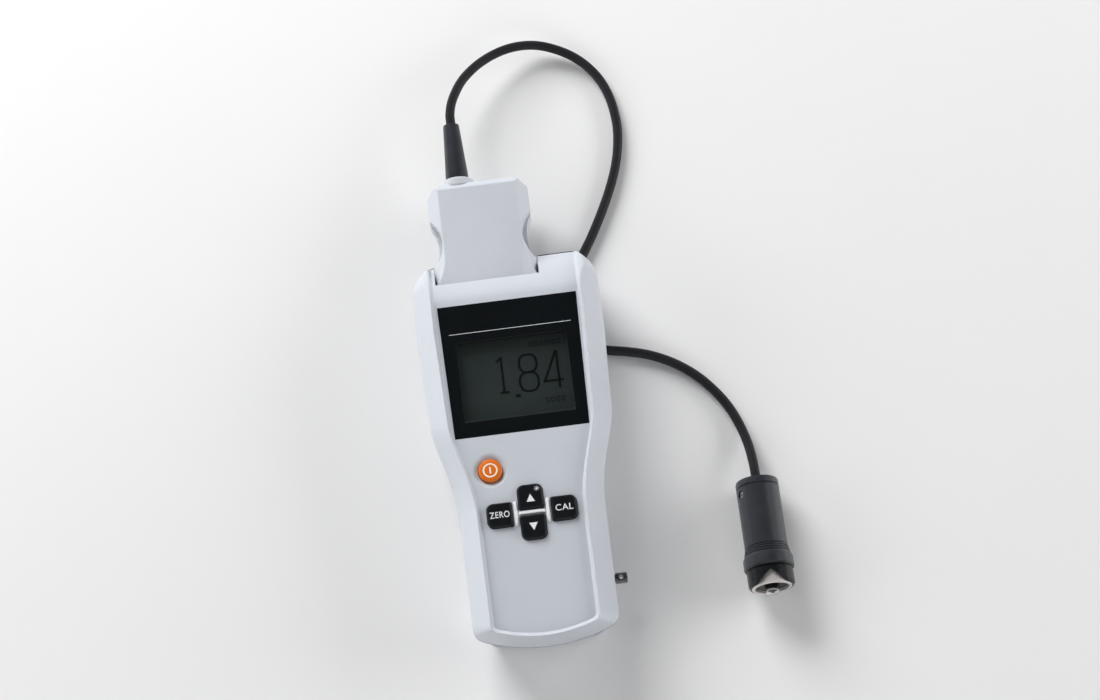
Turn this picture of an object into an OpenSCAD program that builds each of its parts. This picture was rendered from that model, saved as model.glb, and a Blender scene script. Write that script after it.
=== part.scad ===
// Handheld coating thickness gauge with a plug-in probe, in millimetres.
// It lies on its back: X across, Y towards the plug end, Z up out of the display.

/* [Housing] */
// half width of the head
head_half = 36.4; // [33:0.1:40]
// half width of the grip
grip_half = 28; // [26:0.1:31]
// distance from the middle to the plug end and to the lower end
half_len = 78.3; // [75:0.1:84]
// height of the rim over the table
body_h = 30; // [29:0.1:33]
// height of the parting line over the table
part_z = 15; // [14.5:0.1:15.5]
// width of the bevel between the side and the rim
bevel_w = 6.9; // [5.5:0.1:7.5]
// depth of the face below the rim
recess_d = 2; // [1.5:0.1:2.4]
// thickness of the moulded walls
wall = 2.2; // [1.8:0.1:2.4]
// drop of the face where it rolls off at the plug end
roll_drop = 11.5; // [9:0.1:12]
// half width of the battery belly that the gauge rests on
belly_half = 22; // [20.5:0.1:23]
// clearance under the head for the cord
head_lift = 6; // [5:0.1:6.5]

/* [Display] */
// width of the display panel
panel_w = 54; // [50:0.1:54.4]
// length of the display panel
panel_l = 54; // [50:0.1:54.6]
// lower edge of the display panel
panel_y = 3.4; // [3:0.1:4.4]
// width of the viewing window
window_w = 42.8; // [38:0.1:44]
// length of the viewing window
window_l = 33; // [28:0.1:34]

/* [Keys] */
// side of the square keys
key_w = 10.2; // [9:0.1:10.4]
// height of the square keys over the face
key_rise = 1.7; // [1:0.1:2]
// diameter of the round power key
power_d = 9.8; // [8.5:0.1:10]
// distance a key is pressed
key_travel = 0.6; // [0.4:0.05:0.7]
// gap round each key
key_gap = 0.3; // [0.25:0.05:0.4]

/* [Power] */
// diameter of a cell
cell_d = 14.4; // [13.8:0.1:14.5]
// length of a cell
cell_l = 50.4; // [49:0.1:50.6]
// half width of the battery door plate
door_half = 16; // [15:0.1:16.5]

/* [Plug module] */
// width of the plug module
plug_w = 39.8; // [36:0.1:40]
// middle of the plug module, left of the gauge's middle line
plug_x = -6.4; // [-7:0.1:-5]
// far end of the plug module
plug_end = 111; // [108:0.1:114]
// front of the plug module over the table
plug_top = 24; // [23:0.1:24.4]
// back of the plug module over the table
plug_bottom = 9.4; // [9.2:0.1:10]
// depth of the finger scallops
scallop_d = 4.2; // [3:0.1:4.6]
// clearance of the plug in its slot
plug_gap = 0.4; // [0.3:0.05:0.6]
// length of the strain relief outside the plug
relief_l = 27; // [24:0.5:29]

/* [Probe] */
// diameter of the cord
cord_d = 3.7; // [3.2:0.1:3.9]
// diameter of the probe barrel
barrel_d = 16.5; // [15.8:0.1:17]
// diameter of the grip collar
collar_d = 19.2; // [18.6:0.1:20]
// length of the probe without its pole tip
probe_l = 43; // [42:0.5:46]
// width of the V notch across the nose
notch_w = 11.6; // [9:0.1:12]
// depth of the V notch
notch_d = 5; // [4:0.1:5.4]
// diameter of the pole tip
tip_d = 5.2; // [4.6:0.1:5.4]
// distance the pole is pressed in
tip_travel = 1.5; // [1:0.1:1.8]

/* [Hidden] */
$fn = 48;
eps = 0.02;
run = 0.3;
seal_t = 0.8;
floor_z = body_h - recess_d;
ceil_z = floor_z - wall;
rear_top = part_z - seal_t / 2;
front_low = part_z + seal_t / 2;
roll_y = panel_y + panel_l + 2.1;
// half width at the top edge, at the foot of the head, and at the foot of the grip
top_half = head_half - 6.8;
foot_half = head_half - 1.2;
end_half = grip_half - 0.3;
// start of the waist, and how much narrower each half of the panel is at its foot
waist_y = 13;
panel_taper = 1.25;

// Window, and the lens seated behind it
window_y = panel_y + 6;
lens_w = window_w + 4.4;
lens_y0 = window_y - 2.2;
lens_y1 = window_y + window_l + 2.2;
lens_z = floor_z - 2;

// Positions of the keys on the face
power_at = [-13.9, -10.9];
key_pitch = key_w + 1.5;
key_mid = -29.2;
up_at = [0, key_mid + key_pitch / 2];
down_at = [0, key_mid - key_pitch / 2];
zero_at = [-key_w - 2, key_mid];
cal_at = [key_w + 2, key_mid];
key_bottom = ceil_z - 0.3 - 1.2;

// Battery bay, its cells and its door
cell_x = cell_d / 2 + 0.6;
cell_z = 3 + cell_d / 2;
spring_l = 5.7;
bay_low = -half_len + 8.3;
bay_high = bay_low + spring_l + cell_l + 0.9;
bay_half = 2 * cell_x + 0.2;
cell_low = bay_low + spring_l;
door_low = -half_len + 4.2;
door_high = bay_high - 1;

// Board over the cells, and the switches on it
board_t = 1.6;
board_top = cell_z + cell_d / 2 + 1 + board_t;
switch_top = board_top + 1.8;
stem_low = switch_top + key_travel + 0.3;

// A cubic curve between two ends, leaving out its first point
function bez(a, b, c, d, n) = [
  for (i = [1 : n])
    let (t = i / n, s = 1 - t)
      s * s * s * a + 3 * s * s * t * b + 3 * s * t * t * c + t * t * t * d
];

// Right half of the housing outline from the middle of the plug end to the middle of the lower end.
// side, top and low are the distances that it lies inside the widest outline, and slide is the distance that
// its waist lies nearer the lower end.
function half_ring(side, top, low, slide) =
  let (
    yt = half_len - top,
    wt = top_half - side * 0.8,
    wh = head_half - side,
    wf = foot_half - side,
    wg = grip_half - side,
    we = end_half - side,
    yb = -half_len + low,
    xb = we - 4.7
  )
  concat(
    [[0, yt], [wt / 3, yt], [wt * 2 / 3, yt], [wt - 2, yt]],
    bez([wt - 2, yt], [wt + 1.6, yt], [wh, yt - 6.8], [wh, yt - 11], 7),
    [[wh, 45], [(wh + wf) / 2, 30], [wf, waist_y - slide]],
    bez(
      [wf, waist_y - slide], [wf - 0.2, waist_y - 8.5 - slide], [wg + 0.3, waist_y - 22 - slide],
      [wg, waist_y - 37 - slide], 10
    ),
    [[(wg + we) / 2, -46], [we, yb + 11]],
    bez([we, yb + 11], [we, yb + 7], [we - 1.3, yb + 5.4], [xb, yb + 4.3], 6),
    [for (k = [3 : -1 : 0]) [xb * k / 4, yb + 4.3 * (k / 4) * (k / 4)]]
  );
function ring(side, top, low, slide = 0) =
  let (h = half_ring(side, top, low, slide), n = len(h))
  concat(h, [for (k = [n - 2 : -1 : 1]) [-h[k][0], h[k][1]]]);

// Solid skin through rings, each given as [ring, height], from the lowest to the highest
module skin(stack) {
  n = len(stack[0][0]);
  m = len(stack);
  pts = [for (s = stack) for (p = s[0]) [p[0], p[1], s[1]]];
  sides = [
    for (j = [0 : m - 2])
      for (k = [0 : n - 1])
        let (a = j * n + k, b = j * n + (k + 1) % n)
          for (f = [[a, b, b + n], [a, b + n, a + n]]) f
  ];
  caps = [[for (k = [n - 1 : -1 : 0]) k], [for (k = [0 : n - 1]) (m - 1) * n + k]];
  polyhedron(pts, concat(sides, caps), 4);
}

// Height of the face at a place along the gauge, with its roll-off at the plug end
function roll_z(y) =
  y <= roll_y ? floor_z : floor_z - roll_drop * pow((y - roll_y) / (half_len - roll_y), 1.6);

// Everything above the rolled face raised by lift, over a half width
module above_roll(lift, half) {
  steps = 14;
  line = concat(
    [[roll_y - 1, floor_z + lift + 0.06]],
    [
      for (i = [1 : steps])
        let (y = roll_y + (half_len + 3 - roll_y) * i / steps)
          [y, roll_z(y) + lift]
    ]
  );
  rotate([90, 0, 90])
    translate([0, 0, -half])
      linear_extrude(2 * half)
        polygon(concat(line, [[half_len + 3, body_h + 9], [roll_y - 1, body_h + 9]]));
}

// Outline of the display panel, which narrows a little towards the keys
module panel_outline(grow) {
  half = panel_w / 2 + grow;
  foot = panel_w / 2 - panel_taper + grow;
  polygon([
    [-foot, panel_y - grow], [foot, panel_y - grow], [half, panel_y + panel_l + grow],
    [-half, panel_y + panel_l + grow]
  ]);
}

// Upright block with rounded corners through its whole height
module block(x0, x1, y0, y1, z0, z1, r) {
  hull()
    for (x = [x0 + r, x1 - r])
      for (y = [y0 + r, y1 - r])
        translate([x, y, z0])
          cylinder(r = r, h = z1 - z0, $fn = 24);
}

// Square key outline: rounder at the corners that face away from the key group
module key_outline(at, grow) {
  h = key_w / 2 + grow;
  big = 2.6 + grow;
  small = 0.7 + grow;
  dx = sign(at[0]);
  dy = at[0] == 0 ? sign(at[1] - key_mid) : 0;
  translate(at)
    difference() {
      square(2 * h, center = true);
      for (sx = [-1, 1])
        for (sy = [-1, 1])
          let (r = (dx == sx || dy == sy) ? big : small)
            translate([sx * (h - r), sy * (h - r)])
              difference() {
                translate([sx > 0 ? 0 : -r - 1, sy > 0 ? 0 : -r - 1])
                  square(r + 1);
                circle(r);
              }
    }
}

square_keys = [up_at, down_at, zero_at, cal_at];
// Places of the case screws, two in the head and two in the grip
post_x = head_half - 6.4;
post_y = half_len - 28.3;
foot_x = grip_half - 7.4;
foot_y = -half_len + 11.3;
post_at = [[-post_x, post_y], [post_x, post_y], [-foot_x, foot_y], [foot_x, foot_y]];
// Outline of the board, and the posts that it hangs on
board_half = panel_w / 2 - 0.4;
board_foot = bay_half + 1.6;
board_high = half_len - 20.3;
board_low = -half_len + 14.8;
hang_x = board_half - 1.6;
hang_foot = board_foot - 3.9;
board_at = [
  [-hang_x, post_y], [hang_x, post_y], [-hang_foot, board_low + 2.5], [hang_foot, board_low + 2.5]
];
plug_left = plug_x - plug_w / 2;
plug_right = plug_x + plug_w / 2;
plug_start = half_len - 16.3;
plug_mid = (plug_top + plug_bottom) / 2;
relief_x = plug_x - 7.2;

// Slot that takes the plug module in the plug end
module plug_slot() {
  translate([plug_left - plug_gap, plug_start - 1.4, plug_bottom - plug_gap])
    cube([plug_w + 2 * plug_gap, 40, plug_top - plug_bottom + 2 * plug_gap]);
}

module front_cover() {
  color([0.93, 0.94, 0.95])
    union() {
      difference() {
        skin([
          [ring(0, 0, 0), front_low],
          [ring(0.3, 0, 0.05), front_low + 2.4],
          [ring(bevel_w - 0.3, 0, 0.45, 3.6), body_h - 0.75],
          [ring(bevel_w + 0.05, 0, 0.62, 3.9), body_h - 0.22],
          [ring(bevel_w + 0.5, 0, 0.9, 4.3), body_h]
        ]);
        // recessed face inside the rim
        skin([
          [ring(bevel_w + 1.75, -12, 1.9, 5.2), floor_z],
          [ring(bevel_w + 1.45, -12, 1.7, 5), floor_z + 0.5],
          [ring(bevel_w + 1.05, -12, 1.35, 4.7), body_h - 0.4],
          [ring(bevel_w + 0.7, -12, 1.1, 4.4), body_h + 0.1]
        ]);
        // the rim and the face roll off at the plug end
        above_roll(recess_d, 60);
        above_roll(0, head_half - bevel_w - 1.75);
        // room for the inner parts
        intersection() {
          skin([
            [ring(wall + 0.2, wall, wall), front_low - 1],
            [ring(wall + 0.6, wall, wall + 0.3), front_low + 2.6],
            [ring(bevel_w + 0.4, wall, wall + 2.6, 3), ceil_z]
          ]);
          difference() {
            translate([-60, -90, 0])
              cube([120, 200, body_h]);
            above_roll(-wall, 60);
          }
        }
        plug_slot();
        // pocket of the panel, seat of the lens, and the window
        translate([0, 0, floor_z - 0.9])
          linear_extrude(1.9)
            panel_outline(0.15);
        block(-lens_w / 2 - 0.15, lens_w / 2 + 0.15, lens_y0 - 0.15, lens_y1 + 0.15, lens_z, floor_z, 0.3);
        block(-window_w / 2 - 0.4, window_w / 2 + 0.4, window_y - 0.4, window_y + window_l + 0.4,
          lens_z - 3, floor_z, 0.8);
        // key openings
        for (k = square_keys)
          translate([0, 0, ceil_z - 1])
            linear_extrude(wall + 2)
              key_outline(k, key_gap);
        translate([power_at[0], power_at[1], ceil_z - 1])
          cylinder(d = power_d + 2 * key_gap, h = wall + 2);
        translate([power_at[0], power_at[1], floor_z - 0.8])
          cylinder(d1 = power_d + 2 * key_gap - 0.3, d2 = power_d + 3.4, h = 0.85);
      }
      // frame under the face that carries the lens
      difference() {
        block(-lens_w / 2 - 1.2, lens_w / 2 + 1.2, lens_y0 - 1.2, lens_y1 + 1.2,
          lens_z - 1.2, ceil_z + eps, 1.5);
        block(-window_w / 2 - 0.4, window_w / 2 + 0.4, window_y - 0.4, window_y + window_l + 0.4,
          lens_z - 3, floor_z, 0.8);
        block(-lens_w / 2 - 0.15, lens_w / 2 + 0.15, lens_y0 - 0.15, lens_y1 + 0.15, lens_z, floor_z, 0.3);
      }
      // ridges between the keys
      for (s = [-1, 1])
        hull() {
          translate([s * (key_w / 2 + 1) - 0.6, key_mid - key_w / 2, floor_z - eps])
            cube([1.2, key_w, 0.4]);
          translate([s * (key_w / 2 + 1) - 0.35, key_mid - key_w / 2 + 0.3, floor_z])
            cube([0.7, key_w - 0.6, 0.8]);
        }
      hull() {
        translate([-key_w / 2, key_mid - 0.42, floor_z - eps])
          cube([key_w, 0.84, 0.4]);
        translate([-key_w / 2 + 0.3, key_mid - 0.25, floor_z])
          cube([key_w - 0.6, 0.5, 0.8]);
      }
      // posts for the case screws
      for (p = post_at)
        difference() {
          hull() {
            translate([p[0], p[1], part_z])
              cylinder(r = 2.6, h = 6.4, $fn = 24);
            translate([p[0] - sign(p[0]) * 1, p[1], part_z + 5])
              cylinder(r = 1.6, h = ceil_z - part_z - 5 + eps, $fn = 16);
          }
          translate([p[0], p[1], part_z - 1])
            cylinder(r = 1.3, h = 7, $fn = 24);
        }
      // posts that the board hangs on
      for (p = board_at)
        translate([p[0], p[1], board_top])
          cylinder(r = 2, h = ceil_z - board_top + eps, $fn = 24);
    }
}

module display_panel() {
  color([0.05, 0.05, 0.06])
    difference() {
      translate([0, 0, floor_z - 0.9])
        linear_extrude(0.95)
          panel_outline(0);
      translate([-window_w / 2, window_y, floor_z - 2])
        cube([window_w, window_l, 4]);
    }
}

module display_lens() {
  color([0.6, 0.65, 0.65, 0.5])
    translate([-lens_w / 2, lens_y0, lens_z])
      cube([lens_w, lens_y1 - lens_y0, floor_z - 0.9 - lens_z]);
}

// Display behind the lens: its frame's side and end walls, and the glass in it
lcd_top = lens_z - 1.2 - run;
lcd_side = 1.8;
lcd_foot = 3.4;
lcd_head = 2.6;
lcd_t = 1.9;
module lcd_frame() {
  color([0.75, 0.76, 0.78])
    difference() {
      translate([-window_w / 2 - lcd_side, window_y - lcd_foot, board_top])
        cube([window_w + 2 * lcd_side, window_l + lcd_foot + lcd_head, lcd_top - board_top]);
      translate([-window_w / 2 - 0.7, window_y - 1.2, lcd_top - lcd_t])
        cube([window_w + 1.4, window_l + 2.4, 3]);
    }
}

module lcd_glass() {
  color([0.17, 0.2, 0.19])
    translate([-window_w / 2 - 0.6, window_y - 1.1, lcd_top - lcd_t])
      cube([window_w + 1.2, window_l + 2.2, lcd_t - 0.15]);
}

module main_board() {
  color([0.1, 0.3, 0.16])
    difference() {
      translate([0, 0, board_top - board_t])
        linear_extrude(board_t)
          polygon([
            [-board_half, board_high], [board_half, board_high], [board_half, window_y + 2.6],
            [board_foot, bay_high + 3], [board_foot, board_low],
            [-board_foot, board_low], [-board_foot, bay_high + 3], [-board_half, window_y + 2.6]
          ]);
      for (p = board_at)
        translate([p[0], p[1], board_top - 3])
          cylinder(r = 1.1, h = 5);
    }
}

module key_switches() {
  color([0.2, 0.2, 0.22])
    for (k = concat(square_keys, [power_at]))
      translate([k[0], k[1], board_top])
        union() {
          translate([-3, -3, 0])
            cube([6, 6, switch_top - board_top - 0.5]);
          cylinder(d = 3.2, h = switch_top - board_top);
        }
}

// Square key with a chamfered top, a retaining flange and a stem over its switch
module square_key(at) {
  top = floor_z + key_rise;
  union() {
    translate([0, 0, ceil_z - 0.3])
      linear_extrude(top - 0.45 - ceil_z + 0.3)
        key_outline(at, 0);
    translate([0, 0, top - 0.5])
      linear_extrude(0.28)
        key_outline(at, -0.22);
    translate([0, 0, top - 0.3])
      linear_extrude(0.3)
        key_outline(at, -0.55);
    translate([at[0] - key_w / 2 - 0.5, at[1] - key_w / 2 - 0.5, key_bottom])
      cube([key_w + 1, key_w + 1, 1.2]);
    translate([at[0], at[1], stem_low])
      cylinder(d = 3, h = 2);
  }
}

module power_key() {
  r = power_d / 2;
  color([0.86, 0.42, 0.1])
    translate([power_at[0], power_at[1], 0])
      rotate_extrude()
        polygon([
          [0, stem_low], [1.5, stem_low], [1.5, key_bottom], [r + 1, key_bottom], [r + 1, key_bottom + 1.2],
          [r, key_bottom + 1.2], [r, floor_z + 0.4], [r - 0.15, floor_z + 0.62], [r - 0.5, floor_z + 0.8],
          [r - 2, floor_z + 1], [0, floor_z + 1.1]
        ]);
}

module up_key() {
  color([0.08, 0.09, 0.1]) square_key(up_at);
}

module down_key() {
  color([0.08, 0.09, 0.1]) square_key(down_at);
}

module zero_key() {
  color([0.08, 0.09, 0.1]) square_key(zero_at);
}

module cal_key() {
  color([0.08, 0.09, 0.1]) square_key(cal_at);
}

// Seal between the two covers, standing proud at the plug end
module case_seal() {
  color([0.1, 0.1, 0.11])
    difference() {
      translate([0, 0, rear_top])
        linear_extrude(seal_t)
          polygon(ring(0.35, -0.8, 0.35));
      translate([0, 0, rear_top - 1])
        linear_extrude(seal_t + 2)
          polygon(ring(wall + 0.1, wall, wall));
      plug_slot();
    }
}

module rear_cover() {
  color([0.92, 0.93, 0.94])
    union() {
      difference() {
        union() {
          skin([
            [ring(5.2, 3.6, 4.4), head_lift],
            [ring(3.4, 2.2, 2.8), head_lift + 0.6],
            [ring(1.7, 1, 1.3), head_lift + 2.1],
            [ring(0.6, 0.3, 0.4), head_lift + 4.6],
            [ring(0, 0, 0), rear_top]
          ]);
          belly();
        }
        // room for the inner parts
        skin([
          [ring(6.4, 5, 5), head_lift + wall],
          [ring(3.4, wall, wall + 0.8), head_lift + wall + 2.2],
          [ring(wall + 0.1, wall, wall), rear_top + 1]
        ]);
        plug_slot();
        // battery bay, and the opening and grooves of its door
        translate([-bay_half, bay_low, -1])
          cube([2 * bay_half, bay_high - bay_low, 40]);
        translate([-door_half - run, -half_len - 5, -1])
          cube([2 * door_half + 2 * run, door_high + half_len + 5 + run, 3.8]);
        translate([-door_half - 1.7 - run, -half_len - 5, 1])
          cube([2 * door_half + 3.4 + 2 * run, door_high + half_len + 5 + run, 1.8]);
        // counterbores and holes of the case screws
        for (p = post_at)
          translate([p[0], p[1], -1]) {
            cylinder(r = 2.7, h = head_lift + 4, $fn = 24);
            cylinder(r = 1.45, h = 30, $fn = 24);
          }
        // hole of the strap post
        translate([0, strap_y, strap_z])
          rotate([0, 90, 0])
            cylinder(r = 1.55, h = 60, $fn = 24);
      }
      // walls round the battery bay
      difference() {
        block(-bay_half - 1.4, bay_half + 1.4, bay_low - 1.4, bay_high + 1.4,
          head_lift + 1, board_top - board_t - 0.6, 1);
        translate([-bay_half, bay_low, -1])
          cube([2 * bay_half, bay_high - bay_low, 40]);
      }
      // screw bosses
      for (p = post_at)
        difference() {
          hull() {
            translate([p[0], p[1], head_lift + 2.8])
              cylinder(r = 3.1, h = part_z - head_lift - 2.8, $fn = 24);
            translate([p[0] - sign(p[0]) * 2, p[1], head_lift + 1.6])
              cylinder(r = 2, h = 3, $fn = 16);
          }
          translate([p[0], p[1], -1]) {
            cylinder(r = 2.7, h = head_lift + 4, $fn = 24);
            cylinder(r = 1.45, h = 30, $fn = 24);
          }
        }
      // stiffening ribs inside the head
      for (y = [20, 32, 44])
        hull() {
          translate([-24, y, head_lift + 1.5])
            cube([48, 1, 1]);
          translate([-22, y + 0.1, head_lift + 3.4])
            cube([44, 0.8, 0.2]);
        }
    }
}

// Raised flat under the grip that the gauge rests on
module belly() {
  b = belly_half;
  hull() {
    block(-b + 1.2, b - 1.2, -half_len + 5, 31, 0, 0.5, 5);
    block(-b + 0.4, b - 0.4, -half_len + 4, 32, 0.35, 1, 5);
    block(-b - 1.6, b + 1.6, -half_len + 2.4, 36, head_lift, head_lift + 1, 6);
  }
}

strap_y = -half_len + 24.3;
strap_z = 10.6;
module strap_post() {
  color([0.55, 0.56, 0.58])
    translate([0, strap_y, strap_z])
      difference() {
        rotate([0, 90, 0])
          union() {
            translate([0, 0, grip_half - 4])
              cylinder(r = 1.5, h = 6);
            translate([0, 0, grip_half + 0.15])
              cylinder(r = 2.1, h = 4.2);
            translate([0, 0, grip_half + 4.35])
              cylinder(r1 = 2.1, r2 = 1.6, h = 0.4);
          }
        translate([grip_half + 2.3, 0, -5])
          cylinder(r = 0.9, h = 10);
      }
}

module case_screws() {
  color([0.5, 0.51, 0.53])
    for (p = post_at)
      translate([p[0], p[1], 0])
        difference() {
          union() {
            translate([0, 0, head_lift + 1.3])
              cylinder(r = 2.4, h = 1.7);
            translate([0, 0, head_lift + 2.5])
              cylinder(r = 1.25, h = part_z + 5 - head_lift - 2.5);
          }
          for (a = [0, 90])
            rotate([0, 0, a])
              translate([-1.5, -0.3, head_lift + 1])
                cube([3, 0.6, 1.1]);
        }
}

module battery_door() {
  color([0.92, 0.93, 0.94])
    difference() {
      union() {
        translate([-door_half, door_low, 0.25])
          cube([2 * door_half, door_high - door_low, 2.25]);
        translate([-door_half - 1.7, door_low, 1.3])
          cube([2 * door_half + 3.4, door_high - door_low, 1.2]);
      }
      for (k = [0 : 4])
        translate([-9, door_high - 9 - 2.2 * k, 0])
          cube([18, 1, 0.8]);
    }
}

module battery_cells() {
  r = cell_d / 2;
  color([0.2, 0.35, 0.55])
    for (s = [-1, 1])
      translate([s * cell_x, cell_low + cell_l / 2, cell_z])
        rotate([s * 90, 0, 0])
          rotate_extrude()
            polygon([
              [0, -cell_l / 2], [r - 0.8, -cell_l / 2], [r, -cell_l / 2 + 0.8], [r, cell_l / 2 - 1.8],
              [r - 0.8, cell_l / 2 - 1], [2.75, cell_l / 2 - 1], [2.75, cell_l / 2], [0, cell_l / 2]
            ]);
}

// Round wire carried along points, with sides corners in each ring
module wire(pts, r, sides) {
  n = len(pts);
  dir = [
    for (i = [0 : n - 1])
      let (d = pts[min(i + 1, n - 1)] - pts[max(i - 1, 0)]) d / norm(d)
  ];
  start = abs(dir[0][2]) < 0.8 ? [0, 0, 1] : [1, 0, 0];
  side0 = cross(dir[0], start) / norm(cross(dir[0], start));
  frames = carry(dir, [side0], 1);
  body = [
    for (i = [0 : n - 1])
      let (u = frames[i], v = cross(dir[i], u))
        for (k = [0 : sides - 1])
          pts[i] + r * cos(360 * k / sides) * u + r * sin(360 * k / sides) * v
  ];
  tube = [
    for (i = [0 : n - 2])
      for (k = [0 : sides - 1])
        let (a = i * sides + k, b = i * sides + (k + 1) % sides)
          for (f = [[a, b + sides, b], [a, a + sides, b + sides]]) f
  ];
  caps = [[for (k = [0 : sides - 1]) k], [for (k = [sides - 1 : -1 : 0]) (n - 1) * sides + k]];
  polyhedron(body, concat(tube, caps), 4);
}

// Turns a side vector along a path with the least twist
function carry(dir, out, i) =
  i >= len(dir) ? out :
  let (u = out[i - 1], w = u - (u * dir[i]) * dir[i])
  carry(dir, concat(out, [w / norm(w)]), i + 1);

// Coil from radius r0 to r1 along Y over a length, round the place at
function coil(at, r0, r1, len_y, turns, steps) = [
  for (i = [0 : steps])
    let (t = i / steps, a = 360 * turns * t, r = r0 + (r1 - r0) * t)
      at + [r * cos(a), len_y * t, r * sin(a)]
];

module battery_springs() {
  color([0.7, 0.71, 0.73])
    for (s = [-1, 1])
      wire(coil([s * cell_x, bay_low + 0.9, cell_z], 4.4, 2.6, cell_low - bay_low - 1.35, 3, 42), 0.4, 6);
}

module battery_contacts() {
  plate = cell_d - 3.4;
  color([0.7, 0.71, 0.73])
    for (s = [-1, 1]) {
      translate([s * cell_x - plate / 2, bay_high - 0.8, cell_z - plate / 2])
        cube([plate, 0.6, plate]);
      translate([s * cell_x - plate / 2, bay_low + 0.1, cell_z - plate / 2])
        cube([plate, 0.35, plate]);
    }
}

// Socket under the board that takes the contact tongue of the plug
module probe_socket() {
  color([0.12, 0.12, 0.13])
    difference() {
      translate([plug_x - 10, plug_start - 10, plug_mid - 2.6])
        cube([20, 7.5, board_top - board_t - plug_mid + 2.6]);
      translate([plug_x - 8 - run, plug_start - 8, plug_mid - 0.8 - run])
        cube([16 + 2 * run, 10, 1.6 + 2 * run]);
    }
}

// Outline of the plug with its scallops and cut corners
module plug_outline(depth, cut) {
  r = (10.2 * 10.2 + depth * depth) / (2 * depth);
  h = plug_w / 2;
  translate([plug_x, 0])
    difference() {
      polygon([
        [-h, plug_start], [h, plug_start], [h, plug_end - cut], [h - cut - 0.4, plug_end],
        [-h + cut + 0.4, plug_end], [-h, plug_end - cut]
      ]);
      for (s = [-1, 1])
        translate([s * (h + r - depth), plug_end - 24.4])
          circle(r);
    }
}

// Bevels of the plug towards its front, as seen from the side and from the end
module plug_bevels() {
  h = plug_w / 2;
  intersection() {
    translate([plug_x, 0, 0])
      rotate([90, 0, 0])
        translate([0, 0, -plug_end - 1])
          linear_extrude(plug_end - plug_start + 2)
            polygon([
              [-h, plug_bottom], [h, plug_bottom], [h, plug_top - 4], [h - 4.3, plug_top - 0.2],
              [h - 4.9, plug_top], [-h + 4.9, plug_top], [-h + 4.3, plug_top - 0.2], [-h, plug_top - 4]
            ]);
    translate([plug_left - 1, 0, 0])
      rotate([90, 0, 90])
        linear_extrude(plug_w + 2)
          polygon([
            [plug_start, plug_bottom], [plug_end - 1.4, plug_bottom], [plug_end, plug_bottom + 1.4],
            [plug_end, plug_top - 2.2], [plug_end - 2.4, plug_top - 0.25], [plug_end - 3, plug_top],
            [plug_start, plug_top]
          ]);
  }
}

// Hollow inside the plug, its contact opening and its cord opening
module plug_hollow() {
  translate([plug_x - 13.4, plug_start + 2, plug_bottom + 2])
    cube([26.8, plug_end - plug_start - 4.6, plug_top - plug_bottom - 4]);
  translate([plug_x - 9, plug_start - 1, plug_mid - 1.6])
    cube([18, 5, 3.2]);
  translate([relief_x, plug_end - 8, plug_mid])
    rotate([-90, 0, 0])
      cylinder(r = 4.1, h = 20);
}

module plug_collar() {
  translate([relief_x, plug_end - 0.5, plug_mid])
    rotate([-90, 0, 0])
      rotate_extrude()
        polygon([[0, 0], [6.5, 0], [6.5, 2.5], [5.9, 3.1], [0, 3.1]]);
}

module half_space(front) {
  translate([-100, 0, front ? plug_mid : plug_mid - 100])
    cube([200, 200, 100]);
}

module plug_front_shell() {
  color([0.93, 0.94, 0.95])
    difference() {
      intersection() {
        union() {
          intersection() {
            linear_extrude(60) plug_outline(scallop_d, 4.6);
            plug_bevels();
          }
          plug_collar();
        }
        half_space(true);
      }
      plug_hollow();
    }
}

module plug_rear_shell() {
  color([0.88, 0.89, 0.91])
    difference() {
      intersection() {
        union() {
          intersection() {
            linear_extrude(60) plug_outline(scallop_d * 0.6, 4.6);
            plug_bevels();
          }
          plug_collar();
        }
        half_space(false);
      }
      plug_hollow();
    }
}

module plug_board() {
  color([0.1, 0.3, 0.16])
    union() {
      translate([plug_x - 13, plug_start + 2.4, plug_mid - 0.8])
        cube([26, plug_end - plug_start - 14, 1.6]);
      translate([plug_x - 8, plug_start - 7.4, plug_mid - 0.8])
        cube([16, 12, 1.6]);
    }
}

// Tapered sleeve round the cord, with a flange held inside the plug
module strain_relief() {
  color([0.07, 0.08, 0.1])
    translate([relief_x, plug_end, plug_mid])
      rotate([-90, 0, 0])
        difference() {
          rotate_extrude()
            polygon([
              [0, -5.2], [5.4, -5.2], [5.4, -2.7], [4.05, -2.7], [4.05, 2.6], [4.5, 2.62], [4.45, 6],
              [3.2, relief_l - 0.4], [2.85, relief_l], [0, relief_l]
            ]);
          translate([0, 0, -6])
            cylinder(d = cord_d + 0.02, h = relief_l + 12);
        }
}

// The probe lies on its collar and on its rear edge, so it points up a little
collar_s = probe_l - 7.6;
collar_low = collar_s - 7.9;
barrel_s = collar_s - 5.4;
cap_s = 9;
screw_s = 6.2;
probe_x = 86.6;
probe_y = -22;
probe_tilt = atan((collar_d - barrel_d) / 2 / collar_s);
rear_z = barrel_d / 2 * cos(probe_tilt) + 0.02;
module along_probe() {
  translate([probe_x, probe_y, rear_z])
    rotate([90 - probe_tilt, 0, 0])
      children();
}
br = barrel_d / 2;
cr = collar_d / 2;
nr = cr - 0.7;
tube_r = nr - 1.15;

module probe_cap() {
  color([0.1, 0.1, 0.11])
    along_probe()
      difference() {
        rotate_extrude()
          polygon([
            [0, 0], [br - 0.9, 0], [br - 0.25, 0.25], [br, 0.9], [br, 2.6], [br - 0.3, 2.9], [br - 1.6, 2.9],
            [br - 1.6, cap_s], [0, cap_s]
          ]);
        translate([0, 0, -1])
          cylinder(d = cord_d + 0.02, h = 12);
        translate([0, 0, cap_s - 5])
          cylinder(r = br - 3.2, h = cap_s);
        translate([-2 * br, 0, screw_s])
          rotate([0, 90, 0])
            cylinder(r = 1.05, h = 2 * br);
      }
}

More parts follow.
